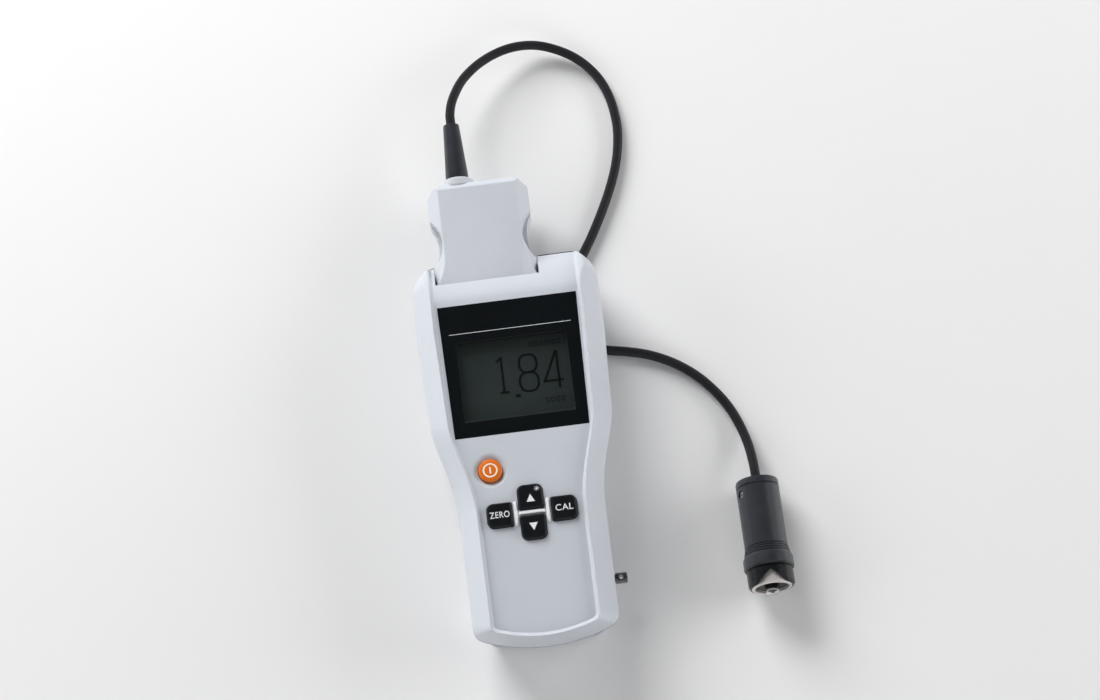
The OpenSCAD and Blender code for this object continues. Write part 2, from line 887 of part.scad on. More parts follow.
module probe_barrel() {
  color([0.1, 0.1, 0.11])
    along_probe()
      difference() {
        rotate_extrude()
          polygon([
            [br - 1.55, 3], [br - 0.3, 3], [br, 3.3], [br, collar_low - 0.5], [br - 0.4, collar_low - 0.1],
            [br - 0.4, barrel_s], [br - 1.55, barrel_s]
          ]);
        translate([-2 * br, 0, screw_s])
          rotate([0, 90, 0])
            cylinder(r = 1.6, h = 2 * br);
      }
}

module probe_screw() {
  color([0.75, 0.76, 0.78])
    along_probe()
      translate([-br + 0.5, 0, screw_s])
        rotate([0, 90, 0])
          difference() {
            union() {
              cylinder(r = 1.4, h = 0.9);
              cylinder(r = 1, h = 3.4);
            }
            translate([-0.25, -2, -0.5])
              cube([0.5, 4, 0.9]);
          }
}

module probe_collar() {
  color([0.1, 0.1, 0.11])
    along_probe()
      rotate_extrude()
        polygon(concat(
          [[br - 0.38, collar_low]],
          // three grip grooves on a growing radius
          [
            for (k = [0 : 2])
              let (r = br + 0.1 + 0.22 * k, s = collar_low + k)
                for (p = [[r, s], [r + 0.1, s + 0.5], [r - 0.2, s + 0.6], [r - 0.2, s + 0.9]]) p
          ],
          [
            [br + 0.8, collar_low + 3], [cr, collar_low + 4.3], [cr, collar_s], [cr - 0.4, collar_s + 0.6],
            [nr + 0.05, collar_s + 0.6], [nr + 0.05, collar_s - 0.6], [tube_r + 0.05, collar_s - 0.6],
            [tube_r + 0.05, barrel_s + 0.05], [br - 0.38, barrel_s + 0.05]
          ]
        ));
}

// Black sleeve of the nose, cut by the V notches that seat it on round work
module probe_nose() {
  color([0.08, 0.08, 0.09])
    along_probe()
      difference() {
        rotate_extrude()
          polygon([
            [tube_r + 0.05, collar_s - 0.55], [nr, collar_s - 0.55], [nr, collar_s + 0.7],
            [nr - 0.45, collar_s + 0.9], [nr - 0.45, collar_s + 1.3], [nr, collar_s + 1.5],
            [nr, probe_l - 0.9], [nr - 0.7, probe_l], [tube_r + 0.05, probe_l]
          ]);
        rotate([90, 0, 0])
          translate([0, 0, -30])
            linear_extrude(60)
              polygon([
                [0, probe_l - notch_d], [notch_w / 2, probe_l], [notch_w / 2, probe_l + 2],
                [-notch_w / 2, probe_l + 2], [-notch_w / 2, probe_l]
              ]);
      }
}

module probe_tube() {
  color([0.78, 0.76, 0.75])
    along_probe()
      rotate_extrude()
        polygon([
          [tube_r - 1.3, barrel_s + 0.1], [tube_r, barrel_s + 0.1], [tube_r, probe_l + 0.1],
          [tube_r - 0.35, probe_l + 0.4], [tube_r - 1.0, probe_l + 0.4], [tube_r - 1.3, probe_l + 0.1]
        ]);
}

module probe_insert() {
  color([0.06, 0.06, 0.07])
    along_probe()
      rotate_extrude()
        polygon([
          [tip_d / 2 + 0.1, probe_l - 4.4], [tube_r - 1.32, probe_l - 4.4], [tube_r - 1.32, probe_l - 1],
          [tip_d / 2 + 0.9, probe_l - 0.7], [tip_d / 2 + 0.1, probe_l - 1.2]
        ]);
}

// Winding round the moving pole, on its bobbin
module sensing_coil() {
  color([0.72, 0.4, 0.2])
    along_probe()
      rotate_extrude()
        polygon([
          [tip_d / 2 + 0.3, barrel_s + 0.1], [tube_r - 1.32, barrel_s + 0.1], [tube_r - 1.32, barrel_s + 1.1],
          [tube_r - 2.2, barrel_s + 1.1], [tube_r - 2.2, probe_l - 5.6], [tube_r - 1.32, probe_l - 5.6],
          [tube_r - 1.32, probe_l - 4.45], [tip_d / 2 + 0.3, probe_l - 4.45]
        ]);
}

flange_s = collar_low + 0.1;
stem_s = cap_s + 2.5 + tip_travel;
module pole_stem() {
  color([0.06, 0.06, 0.07])
    along_probe()
      rotate_extrude()
        polygon([
          [0, stem_s], [1.6, stem_s], [1.6, flange_s], [4.6, flange_s], [4.6, flange_s + 1.6],
          [tip_d / 2 - 0.2, flange_s + 1.6], [tip_d / 2 - 0.2, probe_l + 0.4],
          [tip_d / 2 - 0.5, probe_l + 0.6], [0, probe_l + 0.6]
        ]);
}

module pole_tip() {
  r = tip_d / 2;
  color([0.8, 0.81, 0.83])
    along_probe()
      rotate_extrude()
        polygon([
          [0, probe_l + 0.6], [r - 0.4, probe_l + 0.6], [r, probe_l + 1], [r, probe_l + 1.7],
          [r - 0.25, probe_l + 2.3], [r - 0.8, probe_l + 2.75], [r - 1.5, probe_l + 2.95], [0, probe_l + 3.1]
        ]);
}

// Coil spring that pushes the pole out
module tip_spring() {
  color([0.7, 0.71, 0.73])
    along_probe()
      rotate([90, 0, 0])
        wire(coil([0, cap_s + 0.5, 0], 2.9, 2.9, flange_s - cap_s - 1, 7, 70), 0.45, 6);
}

// Route of the cord: out of the plug, round a loop, under the head, and along the table to the probe
cord_r = cord_d / 2;
low = cord_r + 0.03;
route = [
  [relief_x, plug_end - 5, plug_mid], [relief_x, plug_end + 8, plug_mid],
  [relief_x, plug_end + relief_l, plug_mid], [-13.3, 144.5, 16.2], [-11.2, 151.5, 14.9],
  [-6.4, 159.8, 12.8], [1.8, 167.4, 10.4], [12, 172.5, 8], [22.2, 173.9, 5.8], [31.5, 171.6, 4.1],
  [40, 166.5, 2.9], [46.6, 158.8, 2.2], [50.6, 149.4, low],
  [52.2, 138.5, low], [51.8, 129.5, low], [49.8, 119.5, low], [46.2, 109.4, low], [41.6, 99.4, low],
  [36.4, 89.6, low], [31.4, 81.4, low], [27.2, 74, low], [24.2, 67, low], [23, 60, low], [23.6, 53, low],
  [26.4, 47, low], [31.2, 43, low], [37, 41, low], [44.6, 39.4, low], [53.3, 36.7, low], [61.8, 32.3, low],
  [69.6, 26.2, low], [76, 18.8, low], [80.8, 11, low], [84, 2.6, 2.4], [85.8, -5.5, 4],
  [86.5, -13.5, 6.8], [86.6, -19, rear_z + 0.1]
];
last_dir = [0, -cos(probe_tilt), sin(probe_tilt)];
ends = [[probe_x, probe_y, rear_z] + 0.5 * last_dir, [probe_x, probe_y, rear_z] + 3.6 * last_dir];
knots = concat(route, ends);
// Smooth curve through the route points, two steps to each
function through(p, i, t) =
  let (
    n = len(p) - 1,
    a = p[max(i - 1, 0)], b = p[i], c = p[min(i + 1, n)], d = p[min(i + 2, n)]
  )
  0.5 * (2 * b + (c - a) * t + (2 * a - 5 * b + 4 * c - d) * t * t + (3 * b - a - 3 * c + d) * t * t * t);
cord_path = concat(
  [for (i = [0 : len(knots) - 2]) for (t = [0, 0.5]) through(knots, i, t)],
  [knots[len(knots) - 1]]
);

module probe_cord() {
  color([0.09, 0.09, 0.1]) wire(cord_path, cord_r, 8);
}

front_cover();
rear_cover();
case_seal();
battery_door();
display_panel();
display_lens();
lcd_frame();
lcd_glass();
main_board();
key_switches();
power_key();
up_key();
down_key();
zero_key();
cal_key();
battery_cells();
battery_springs();
battery_contacts();
probe_socket();
strap_post();
case_screws();
plug_front_shell();
plug_rear_shell();
plug_board();
strain_relief();
probe_cord();
probe_cap();
probe_barrel();
probe_screw();
probe_collar();
probe_nose();
probe_tube();
probe_insert();
sensing_coil();
pole_stem();
pole_tip();
tip_spring();
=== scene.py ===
"""Looks of a handheld coating thickness gauge with a plug-in probe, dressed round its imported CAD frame.

Lengths are worked out in millimetres in the frame of the CAD model and put into meshes in metres.
X runs across the gauge, Y towards the plug end and Z up out of the display.
"""

import logging
import math
from dataclasses import dataclass
from enum import Enum
from typing import Callable, Sequence

import bmesh
import bpy
import numpy as np
from mathutils import Matrix, Vector
from mathutils.geometry import delaunay_2d_cdt


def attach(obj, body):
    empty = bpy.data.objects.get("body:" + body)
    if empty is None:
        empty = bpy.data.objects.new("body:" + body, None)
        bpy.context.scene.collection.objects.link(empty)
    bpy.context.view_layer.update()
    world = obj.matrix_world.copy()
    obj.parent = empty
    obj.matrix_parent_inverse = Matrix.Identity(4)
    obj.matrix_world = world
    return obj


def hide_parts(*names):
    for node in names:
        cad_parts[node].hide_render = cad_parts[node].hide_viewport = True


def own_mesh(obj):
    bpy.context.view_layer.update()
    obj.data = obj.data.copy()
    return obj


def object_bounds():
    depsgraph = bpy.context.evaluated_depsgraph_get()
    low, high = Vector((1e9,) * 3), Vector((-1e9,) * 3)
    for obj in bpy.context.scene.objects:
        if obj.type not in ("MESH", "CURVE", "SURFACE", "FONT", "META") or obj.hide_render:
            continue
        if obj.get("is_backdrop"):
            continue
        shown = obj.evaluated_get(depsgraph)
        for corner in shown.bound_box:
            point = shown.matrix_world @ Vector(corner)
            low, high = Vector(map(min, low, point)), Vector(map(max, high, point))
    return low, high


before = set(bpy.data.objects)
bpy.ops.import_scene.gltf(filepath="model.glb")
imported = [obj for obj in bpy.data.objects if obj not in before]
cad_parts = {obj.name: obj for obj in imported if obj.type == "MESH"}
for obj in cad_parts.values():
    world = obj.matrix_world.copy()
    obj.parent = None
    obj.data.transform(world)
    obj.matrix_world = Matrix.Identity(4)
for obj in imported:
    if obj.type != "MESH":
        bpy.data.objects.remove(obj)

MM = 0.001
WELD = 2e-7  # metres within which points of a new piece are joined
COPY_WELD = 1e-6  # the same for a copy of a CAD mesh
SPECK = 1e-7  # metres under which an edge is dropped
FLAT = math.radians(0.6)  # turn under which faces of a copy are merged
INK_THICK = 0.03  # thickness of print in millimetres
Array = np.ndarray
Colour = tuple[float, float, float]
LOG = logging.getLogger("gauge")


class Body(Enum):
    """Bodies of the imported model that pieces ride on."""

    HOUSING = "housing"
    LID = "battery_lid"
    POWER = "power_button"
    UP = "up_button"
    DOWN = "down_button"
    ZERO = "zero_button"
    CAL = "cal_button"
    PROBE = "probe_set"
    POLE = "pole"


class Grain(Enum):
    """How the fine relief of a finish runs."""

    CLOUD = "cloud"
    TURNED = "turned"
    DRAWN = "drawn"


# Surfaces

def bezier(a: float, b: float, c: float, d: float, t: Array) -> Array:
    """Cubic curve with ends a and d and handles b and c, at the shares t."""
    s = 1 - t
    return s**3 * a + 3 * s * s * t * b + 3 * s * t * t * c + t**3 * d


def smoothstep(low: float, high: float, x: Array) -> Array:
    """Zero below low, one above high, and 3t^2 - 2t^3 between them."""
    t = np.clip((x - low) / (high - low), 0, 1)
    return t * t * (3 - 2 * t)


def unit(vectors: Array) -> Array:
    """Vectors along the last axis, brought to a length of one."""
    return vectors / np.linalg.norm(vectors, axis=-1, keepdims=True)


def circle(count: int, radius: float = 1.0) -> Array:
    """Points of a circle about the origin in plan, counter-clockwise from X."""
    a = np.linspace(0, 2 * np.pi, count, endpoint=False)
    return radius * np.stack([np.cos(a), np.sin(a)], 1)


def signed_power(x: Array, power: float) -> Array:
    """Power of the size of x, with the sign of x."""
    return np.sign(x) * np.abs(x) ** power


def grid_quads(rows: int, cols: int, wrap: bool = False) -> Array:
    """Quads of a grid whose vertex (r, c) has the index r * cols + c.

    Args:
        rows: Rows of vertices.
        cols: Vertices in a row.
        wrap: Whether each row closes on itself.

    Returns:
        Four indices a quad.
    """
    c = np.arange(cols if wrap else cols - 1)
    a = (np.arange(rows - 1)[:, None] * cols + c).ravel()
    b = (np.arange(rows - 1)[:, None] * cols + (c + 1) % cols).ravel()
    return np.stack([a, b, b + cols, a + cols], 1)


def end_faces(rows: int, cols: int) -> list[list[int]]:
    """Faces that fill the first and the last row of a grid."""
    return [list(range(cols)), list(range((rows - 1) * cols, rows * cols))]


def tube_faces(rows: int, cols: int) -> list[Sequence[int]]:
    """Faces of a grid of closed rows, with both ends filled."""
    return [*grid_quads(rows, cols, True), *end_faces(rows, cols)]


def round_columns(poly: Array, setbacks: Sequence[float], steps: int, spans: Sequence[int]) -> Array:
    """Rounds the inner corners of many polylines at once.

    Each inner corner P becomes the parabola (1-t)^2 A + 2t(1-t) P + t^2 B, where A and B lie on its two
    sides, a setback away from it and never past 0.45 of the side. The straight runs are cut in equal spans.

    Args:
        poly: Points, as columns by corners by coordinates.
        setbacks: Distance from each inner corner at which its curve starts.
        steps: Points of each curve.
        spans: Spans of each straight run, one more than there are inner corners.

    Returns:
        Points, as columns by points by coordinates.
    """
    t = np.linspace(0, 1, steps)[None, :, None]
    parts, start = [], poly[:, 0]
    for k, back in enumerate(setbacks, 1):
        p = poly[:, k]
        ends = []
        for other in (poly[:, k - 1], poly[:, k + 1]):
            side = other - p
            size = np.linalg.norm(side, axis=-1, keepdims=True) + 1e-9
            ends.append(p + side * np.minimum(back / size, 0.45))
        run = np.linspace(0, 1, spans[k - 1] + 1)[None, :-1, None]
        parts.append(start[:, None] * (1 - run) + ends[0][:, None] * run)
        curve = (1 - t) ** 2 * ends[0][:, None] + 2 * t * (1 - t) * p[:, None] + t * t * ends[1][:, None]
        parts.append(curve[:, :-1])
        start = ends[1]
    run = np.linspace(0, 1, spans[-1] + 1)[None, :, None]
    parts.append(start[:, None] * (1 - run) + poly[:, -1][:, None] * run)
    return np.concatenate(parts, 1)


def rounded_profile(points: Sequence[Sequence[float]], setback: float, steps: int = 5) -> Array:
    """One polyline with every inner corner rounded by the same setback."""
    poly = np.array(points, float)[None]
    inner = poly.shape[1] - 2
    return round_columns(poly, [setback] * inner, steps, [1] * (inner + 1))[0]


def rounded_box_ring(half: Sequence[float], radii: Sequence[float], steps: int = 8) -> Array:
    """Outline of a box with four rounded corners, counter-clockwise from the right upper one.

    Args:
        half: Half width and half height.
        radii: Radius of the corners: right upper, left upper, left lower, right lower.
        steps: Points of each corner.

    Returns:
        Points of the outline.
    """
    signs = np.array([[1, 1], [-1, 1], [-1, -1], [1, -1]], float)
    r = np.array(radii, float)
    angle = np.radians(np.arange(4) * 90)[:, None] + np.linspace(0, np.pi / 2, steps)[None, :]
    centre = signs * (np.array(half)[None] - r[:, None])
    ring = centre[:, None] + r[:, None, None] * np.stack([np.cos(angle), np.sin(angle)], -1)
    return ring.reshape(-1, 2)


def revolve_grid(profile: Array, sides: int) -> Array:
    """Carries a profile of (radius, height) round the height axis: (r cos a, r sin a, h)."""
    c, s = circle(sides).T
    r, h = profile[:, :1], profile[:, 1:]
    return np.stack([r * c, r * s, np.broadcast_to(h, (len(profile), sides))], -1)


def revolve_along_y(profile: Array, centre: Sequence[float], sides: int = 64) -> Array:
    """Carries a profile of (radius, distance) round the line along Y through a centre."""
    return np.array(centre) + revolve_grid(profile, sides)[..., [0, 2, 1]]


def through(knots: Array, steps: int) -> Array:
    """Smooth curve through knots: each span is the cubic whose end slopes are half the chord over its knots.

    Args:
        knots: Points to pass.
        steps: Points of each span.

    Returns:
        Points of the curve.
    """
    p = np.concatenate([knots[:1], knots, knots[-1:]])
    a, b, c, d = (p[k : len(p) - 3 + k][:, None] for k in range(4))
    t = np.linspace(0, 1, steps, endpoint=False)[None, :, None]
    curve = 0.5 * (2 * b + (c - a) * t + (2 * a - 5 * b + 4 * c - d) * t**2 + (3 * b - a - 3 * c + d) * t**3)
    return np.concatenate([curve.reshape(-1, 3), knots[-1:]])


def tube_grid(path: Array, radius: float, sides: int) -> Array:
    """Circles carried along a path, square to it and with a level side vector.

    Args:
        path: Points of the centre line.
        radius: Radius of the circles.
        sides: Points of each circle.

    Returns:
        Points, as path by circle by coordinates.
    """
    along = unit(np.gradient(path, axis=0))
    side = unit(np.cross(along, [0, 0, 1.0]))
    up = np.cross(side, along)
    c, s = circle(sides).T[:, None, :, None]
    return path[:, None] + radius * (c * side[:, None] + s * up[:, None])


def ribbon(path: Array, width: float, closed: bool = False) -> tuple[Array, Array]:
    """Flat strip of even width along a path in the XY plane.

    Args:
        path: Points of its middle line.
        width: Width of the strip.
        closed: Whether the path comes back to its start.

    Returns:
        Points of the left edge, then of the right edge, and the quads between them.
    """
    ends = (path[[-1]], path[[0]]) if closed else (2 * path[:1] - path[1:2], 2 * path[-1:] - path[-2:-1])
    line = np.concatenate([ends[0], path, ends[1]])
    before, after = line[1:-1] - line[:-2], line[2:] - line[1:-1]
    along = unit(unit(before) + unit(after))
    normal = np.stack([-along[:, 1], along[:, 0]], 1) * width / 2
    rows = np.stack([path + normal, path - normal])
    n = len(path)
    k = np.arange(n if closed else n - 1)
    j = (k + 1) % n
    return rows.reshape(-1, 2), np.stack([k, k + n, j + n, j], 1)


def joined(parts: Sequence[tuple[Array, Sequence[Sequence[int]]]]) -> tuple[Array, list[list[int]]]:
    """Puts several sets of points and faces into one.

    Args:
        parts: Points and faces of each.

    Returns:
        All points, and all faces with their indices moved on.
    """
    points, faces, start = [], [], 0
    for place, cells in parts:
        points.append(place)
        faces += [[int(i) + start for i in cell] for cell in cells]
        start += len(place)
    return np.concatenate(points), faces


def inside_loops(points: Array, loops: Sequence[Array]) -> Array:
    """Tells which points lie inside an odd number of loops, by the edges that a ray along X crosses.

    Args:
        points: Points in plan.
        loops: Closed outlines.

    Returns:
        One truth value a point.
    """
    a = np.concatenate(loops)
    b = np.concatenate([np.roll(loop, -1, 0) for loop in loops])
    x, y = points[:, :1], points[:, 1:]
    spans = (a[:, 1] > y) != (b[:, 1] > y)
    rise = np.where(a[:, 1] == b[:, 1], 1, b[:, 1] - a[:, 1])
    cross = a[:, 0] + (y - a[:, 1]) / rise * (b[:, 0] - a[:, 0])
    return np.sum(spans & (cross > x), 1) % 2 == 1


def new_piece(name: str, points: Array, faces: Sequence[Sequence[int]], body: Body, finish: "Finish",
              sharp: float = 32.0) -> bpy.types.Object:
    """Makes a mesh object from points in millimetres, welds it, dresses it and lets it ride on a body.

    Args:
        name: Name of the piece.
        points: Vertices, in any shape that ends in three coordinates.
        faces: Indices of each face.
        body: Body that carries the piece.
        finish: Finish of its surface.
        sharp: Angle in degrees from which an edge is drawn sharp.

    Returns:
        The new object.
    """
    mesh = bpy.data.meshes.new(name)
    places = np.asarray(points, float).reshape(-1, 3) * MM
    mesh.from_pydata(places.tolist(), [], [list(map(int, f)) for f in faces])
    work = bmesh.new()
    work.from_mesh(mesh)
    bmesh.ops.remove_doubles(work, verts=work.verts, dist=WELD)
    bmesh.ops.dissolve_degenerate(work, edges=work.edges, dist=SPECK)
    bmesh.ops.recalc_face_normals(work, faces=work.faces)
    work.to_mesh(mesh)
    work.free()
    return settle(name, mesh, body, finish, sharp)


def settle(name: str, mesh: bpy.types.Mesh, body: Body, finish: "Finish", sharp: float) -> bpy.types.Object:
    """Links a mesh as a smooth object with sharp edges, its finish and its body.

    Args:
        name: Name of the object.
        mesh: Its mesh, in place.
        body: Body that carries it.
        finish: Finish of its surface.
        sharp: Angle in degrees from which an edge is drawn sharp.

    Returns:
        The new object.
    """
    mesh.shade_smooth()
    mesh.set_sharp_from_angle(angle=math.radians(sharp))
    mesh.materials.clear()
    mesh.materials.append(finish.material())
    piece = bpy.data.objects.new(name, mesh)
    bpy.context.scene.collection.objects.link(piece)
    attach(piece, body.value)
    LOG.info("%s: %d faces on %s", name, len(mesh.polygons), body.value)
    return piece


def remap(mesh: bpy.types.Mesh, change: Callable[[Array], Array]) -> None:
    """Moves the points of a mesh.

    Args:
        mesh: Mesh to change, in metres.
        change: Map of its points in millimetres, as a whole array.
    """
    flat = np.empty(3 * len(mesh.vertices))
    mesh.vertices.foreach_get("co", flat)
    mesh.vertices.foreach_set("co", (change(flat.reshape(-1, 3) / MM) * MM).ravel())
    mesh.update()


def softened(node: str, name: str, body: Body, finish: "Finish", edge: float, sharp: float = 32.0,
             segments: int = 3, turn: Matrix = Matrix(),
             reshape: Callable[[Array], Array] | None = None) -> bpy.types.Object:
    """Stands for a CAD node with a merged copy of its mesh whose sharp edges are rounded.

    Args:
        node: CAD node to copy and replace.
        name: Name of the new piece.
        body: Body that carries it.
        finish: Finish of its surface.
        edge: Width of the rounding in millimetres.
        sharp: Angle in degrees from which an edge is rounded.
        segments: Steps of the rounding.
        turn: Turn about its own axis, for a turned piece.
        reshape: Map of its points in millimetres, as a whole array.

    Returns:
        The new object.
    """
    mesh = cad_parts[node].data.copy()
    mesh.transform(turn)
    if reshape:
        remap(mesh, reshape)
    if "custom_normal" in mesh.attributes:
        mesh.attributes.remove(mesh.attributes["custom_normal"])
    work = bmesh.new()
    work.from_mesh(mesh)
    bmesh.ops.remove_doubles(work, verts=work.verts, dist=COPY_WELD)
    bmesh.ops.dissolve_limit(work, angle_limit=FLAT, verts=work.verts, edges=work.edges)
    work.to_mesh(mesh)
    work.free()
    piece = settle(name, mesh, body, finish, sharp)
    bevel = piece.modifiers.new("rounded_edges", "BEVEL")
    bevel.limit_method = "ANGLE"
    bevel.angle_limit = math.radians(sharp)
    bevel.width = edge * MM
    bevel.segments = segments
    bevel.harden_normals = True
    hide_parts(node)
    return piece


def flat_print(name: str, points: Array, faces: Sequence[Sequence[int]], height: float, body: Body,
               finish: "Finish", thick: float = INK_THICK) -> bpy.types.Object:
    """Printed mark: a thin closed slab over flat points at a height.

    Args:
        name: Name of the piece.
        points: Flat outline points in the XY plane.
        faces: Indices of its upper faces.
        height: Height of its lower side.
        body: Body that carries it.
        finish: Finish of the ink.
        thick: Thickness of the ink.

    Returns:
        The new object.
    """
    flat = np.asarray(points, float)
    n = len(flat)
    low = np.column_stack([flat, np.full(n, height)])
    high = np.column_stack([flat, np.full(n, height + thick)])
    tops = [[int(i) + n for i in f] for f in faces]
    lows = [[int(i) for i in f][::-1] for f in faces]
    edges = dict.fromkeys((int(a), int(b)) for f in faces for a, b in zip(f, [*f[1:], f[0]]))
    sides = [[a, b, b + n, a + n] for a, b in edges if (b, a) not in edges]
    return new_piece(name, np.concatenate([low, high]), lows + tops + sides, body, finish)


def dress(finishes: dict[str, "Finish"]) -> None:
    """Gives CAD nodes, whose shape is right, their finishes.

    Args:
        finishes: Finish of each node.
    """
    for node, finish in finishes.items():
        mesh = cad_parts[node].data
        mesh.materials.clear()
        mesh.materials.append(finish.material())
        LOG.info("%s: CAD node in %s", node, finish.name)


# Finishes

class Sketch:
    """Short way to draw a material's nodes."""

    def __init__(self, name: str) -> None:
        """Starts an empty node material with one principled shader."""
        self.material = bpy.data.materials.new(f"{name}_look")
        self.material.use_nodes = True
        self.tree = self.material.node_tree
        self.tree.nodes.clear()
        self.shader = self.node("ShaderNodeBsdfPrincipled")
        out = self.node("ShaderNodeOutputMaterial")
        self.tree.links.new(self.shader.outputs[0], out.inputs[0])
        self.place = self.node("ShaderNodeTexCoord").outputs["Object"]

    def plug(self, socket: bpy.types.NodeSocket, value: object) -> None:
        """Links an output to an input, or sets the input's value.

        Args:
            socket: Input.
            value: Output, number, vector or colour.
        """
        if isinstance(value, bpy.types.NodeSocket):
            self.tree.links.new(value, socket)
        else:
            socket.default_value = (*value, 1) if socket.type == "RGBA" else value

    def fill(self, node: bpy.types.Node, **sockets: object) -> bpy.types.Node:
        """Plugs inputs of a node by name, with spaces written as underscores.

        Args:
            node: Node to fill.
            sockets: Value or output for each input.

        Returns:
            The same node.
        """
        for key, value in sockets.items():
            self.plug(node.inputs[key.replace("_", " ")], value)
        return node

    def node(self, kind: str, **sockets: object) -> bpy.types.Node:
        """Adds a node of a kind and fills its inputs."""
        return self.fill(self.tree.nodes.new(kind), **sockets)

    def noise(self, scale: float, detail: float, where: bpy.types.NodeSocket | None = None) -> bpy.types.NodeSocket:
        """Height of a cloud pattern of a scale in turns per metre."""
        return self.node("ShaderNodeTexNoise", Vector=where or self.place, Scale=scale, Detail=detail).outputs[0]

    def span(self, value: bpy.types.NodeSocket, low: float, high: float, start: float = 0.3,
             end: float = 0.7) -> bpy.types.NodeSocket:
        """Maps a height from start and end to low and high, and holds it there."""
        return self.node("ShaderNodeMapRange", Value=value, From_Min=start, From_Max=end, To_Min=low,
                         To_Max=high).outputs[0]

    def compute(self, operation: str, a: object, b: object) -> bpy.types.NodeSocket:
        """Result of an operation on two numbers.

        Args:
            operation: Name of the operation.
            a: First value or output.
            b: Second value or output.

        Returns:
            Output with the result.
        """
        made = self.node("ShaderNodeMath")
        made.operation = operation
        self.plug(made.inputs[0], a)
        self.plug(made.inputs[1], b)
        return made.outputs[0]

    def blend(self, share: object, a: object, b: object) -> bpy.types.NodeSocket:
        """Colour between a and b at a share.

        Args:
            share: Share of b.
            a: Colour at zero.
            b: Colour at one.

        Returns:
            Output with the colour.
        """
        made = self.node("ShaderNodeMix")
        made.data_type = "RGBA"
        for place, value in ((0, share), (6, a), (7, b)):
            self.plug(made.inputs[place], value)
        return made.outputs[2]


@dataclass(frozen=True)
class Finish:
    """Finish of a surface: its colour and how it mottles, shines and feels.

    Scales are in turns per metre, and depths in millimetres.
    """

    name: str
    colour: Colour
    roughness: float
    slot: str = ""
    metallic: float = 0.0
    mottle: float = 0.03
    mottle_scale: float = 90.0
    sheen_drift: float = 0.05
    grain: Grain = Grain.CLOUD
    grain_scale: float = 3200.0
    grain_depth: float = 0.012
    specular: float = 0.5
    tilt: float = 0.0

    def material(self) -> bpy.types.Material:
        """Returns the finish as a node material, made once."""
        made = bpy.data.materials.get(f"{self.name}_look")
        return made if made else self.draw()

    def draw(self) -> bpy.types.Material:
        """Draws the nodes: mottled colour, drifting roughness and a fine relief.

        Returns:
            The new material.
        """
        s = Sketch(self.name)
        cloud = s.span(s.noise(self.mottle_scale, 4), 0, 1)
        self.gloss(s, self.mottle_scale * 4.3, 3)
        bump = s.node("ShaderNodeBump", Height=self.relief(s), Strength=1.0, Distance=self.grain_depth * MM)
        s.fill(s.shader, Base_Color=s.blend(cloud, self.tone(1 - self.mottle), self.tone(1 + self.mottle)),
               Normal=bump.outputs[0], Metallic=self.metallic, Specular_IOR_Level=self.specular)
        return s.material

    def tone(self, share: float) -> Colour:
        """Colour at a share of its strength, never past white."""
        return tuple(min(1.0, c * share) for c in self.colour)

    def gloss(self, s: Sketch, scale: float, detail: float) -> None:
        """Lets the roughness drift to both sides of its mean.

        Args:
            s: Sketch of the material.
            scale: Scale of the drift in turns per metre.
            detail: Detail of the drift.
        """
        low, high = self.roughness - self.sheen_drift, self.roughness + self.sheen_drift
        s.fill(s.shader, Roughness=s.span(s.noise(scale, detail), max(0.02, low), min(1.0, high)))

    def relief(self, s: Sketch) -> bpy.types.NodeSocket:
        """Height of the fine relief: a cloud, turned rings along the probe, or lines drawn along X.

        Args:
            s: Sketch of the material.

        Returns:
            Output with the height.
        """
        if self.grain is Grain.CLOUD:
            return s.noise(self.grain_scale, 3)
        stretch = (0.02, 1, 0.02) if self.grain is Grain.TURNED else (0.02, 1, 1)
        turn = s.node("ShaderNodeMapping", Vector=s.place, Rotation=(math.radians(self.tilt), 0, 0), Scale=stretch)
        return s.noise(self.grain_scale, 2, turn.outputs[0])


SHELL = Finish("shell_white", (0.53, 0.555, 0.60), 0.42, "shell_white", mottle=0.012, grain_scale=2600,
               grain_depth=0.010, specular=0.45)
MODULE = Finish("module_white", (0.53, 0.552, 0.595), 0.40, "module_white", mottle=0.012, grain_scale=2600,
                grain_depth=0.008, specular=0.45)
PANEL = Finish("panel_black", (0.0032, 0.0046, 0.0054), 0.22, "panel_black", mottle=0.12, grain_scale=1800,
               grain_depth=0.003, specular=0.4)
KEY = Finish("key_black", (0.0038, 0.0052, 0.0066), 0.36, "key_black", mottle=0.12, grain_scale=2400, grain_depth=0.006,
             specular=0.42)
ORANGE = Finish("key_orange", (0.66, 0.145, 0.008), 0.36, "key_orange", mottle=0.05, grain_scale=2400,
                grain_depth=0.006)
RIDGE = Finish("ridge_white", (0.80, 0.81, 0.83), 0.40, mottle=0.012, grain_scale=2600, grain_depth=0.008)
INK = Finish("ink_white", (0.74, 0.76, 0.78), 0.5, grain_depth=0.004)
INK_PALE = Finish("ink_cream", (0.86, 0.78, 0.68), 0.5, grain_depth=0.004)
INK_LCD = Finish("segment_dark", (0.0012, 0.0016, 0.0015), 0.6, mottle=0.2, grain_depth=0.002, specular=0.02)
LIP = Finish("lip_grey", (0.0125, 0.0155, 0.0148), 0.40, "panel_black", mottle=0.08, grain_depth=0.004, specular=0.25)
RUBBER = Finish("rubber_black", (0.015, 0.0152, 0.018), 0.50, "rubber_black", mottle=0.15, mottle_scale=160,
                grain_scale=2200, grain_depth=0.02, specular=0.26)
RELIEF = Finish("relief_black", (0.020, 0.021, 0.0265), 0.36, "rubber_black", mottle=0.15, mottle_scale=160,
                grain_scale=2600, grain_depth=0.012)
SEAL = Finish("seal_black", (0.012, 0.013, 0.015), 0.6, "rubber_black", mottle=0.2, grain_depth=0.02)
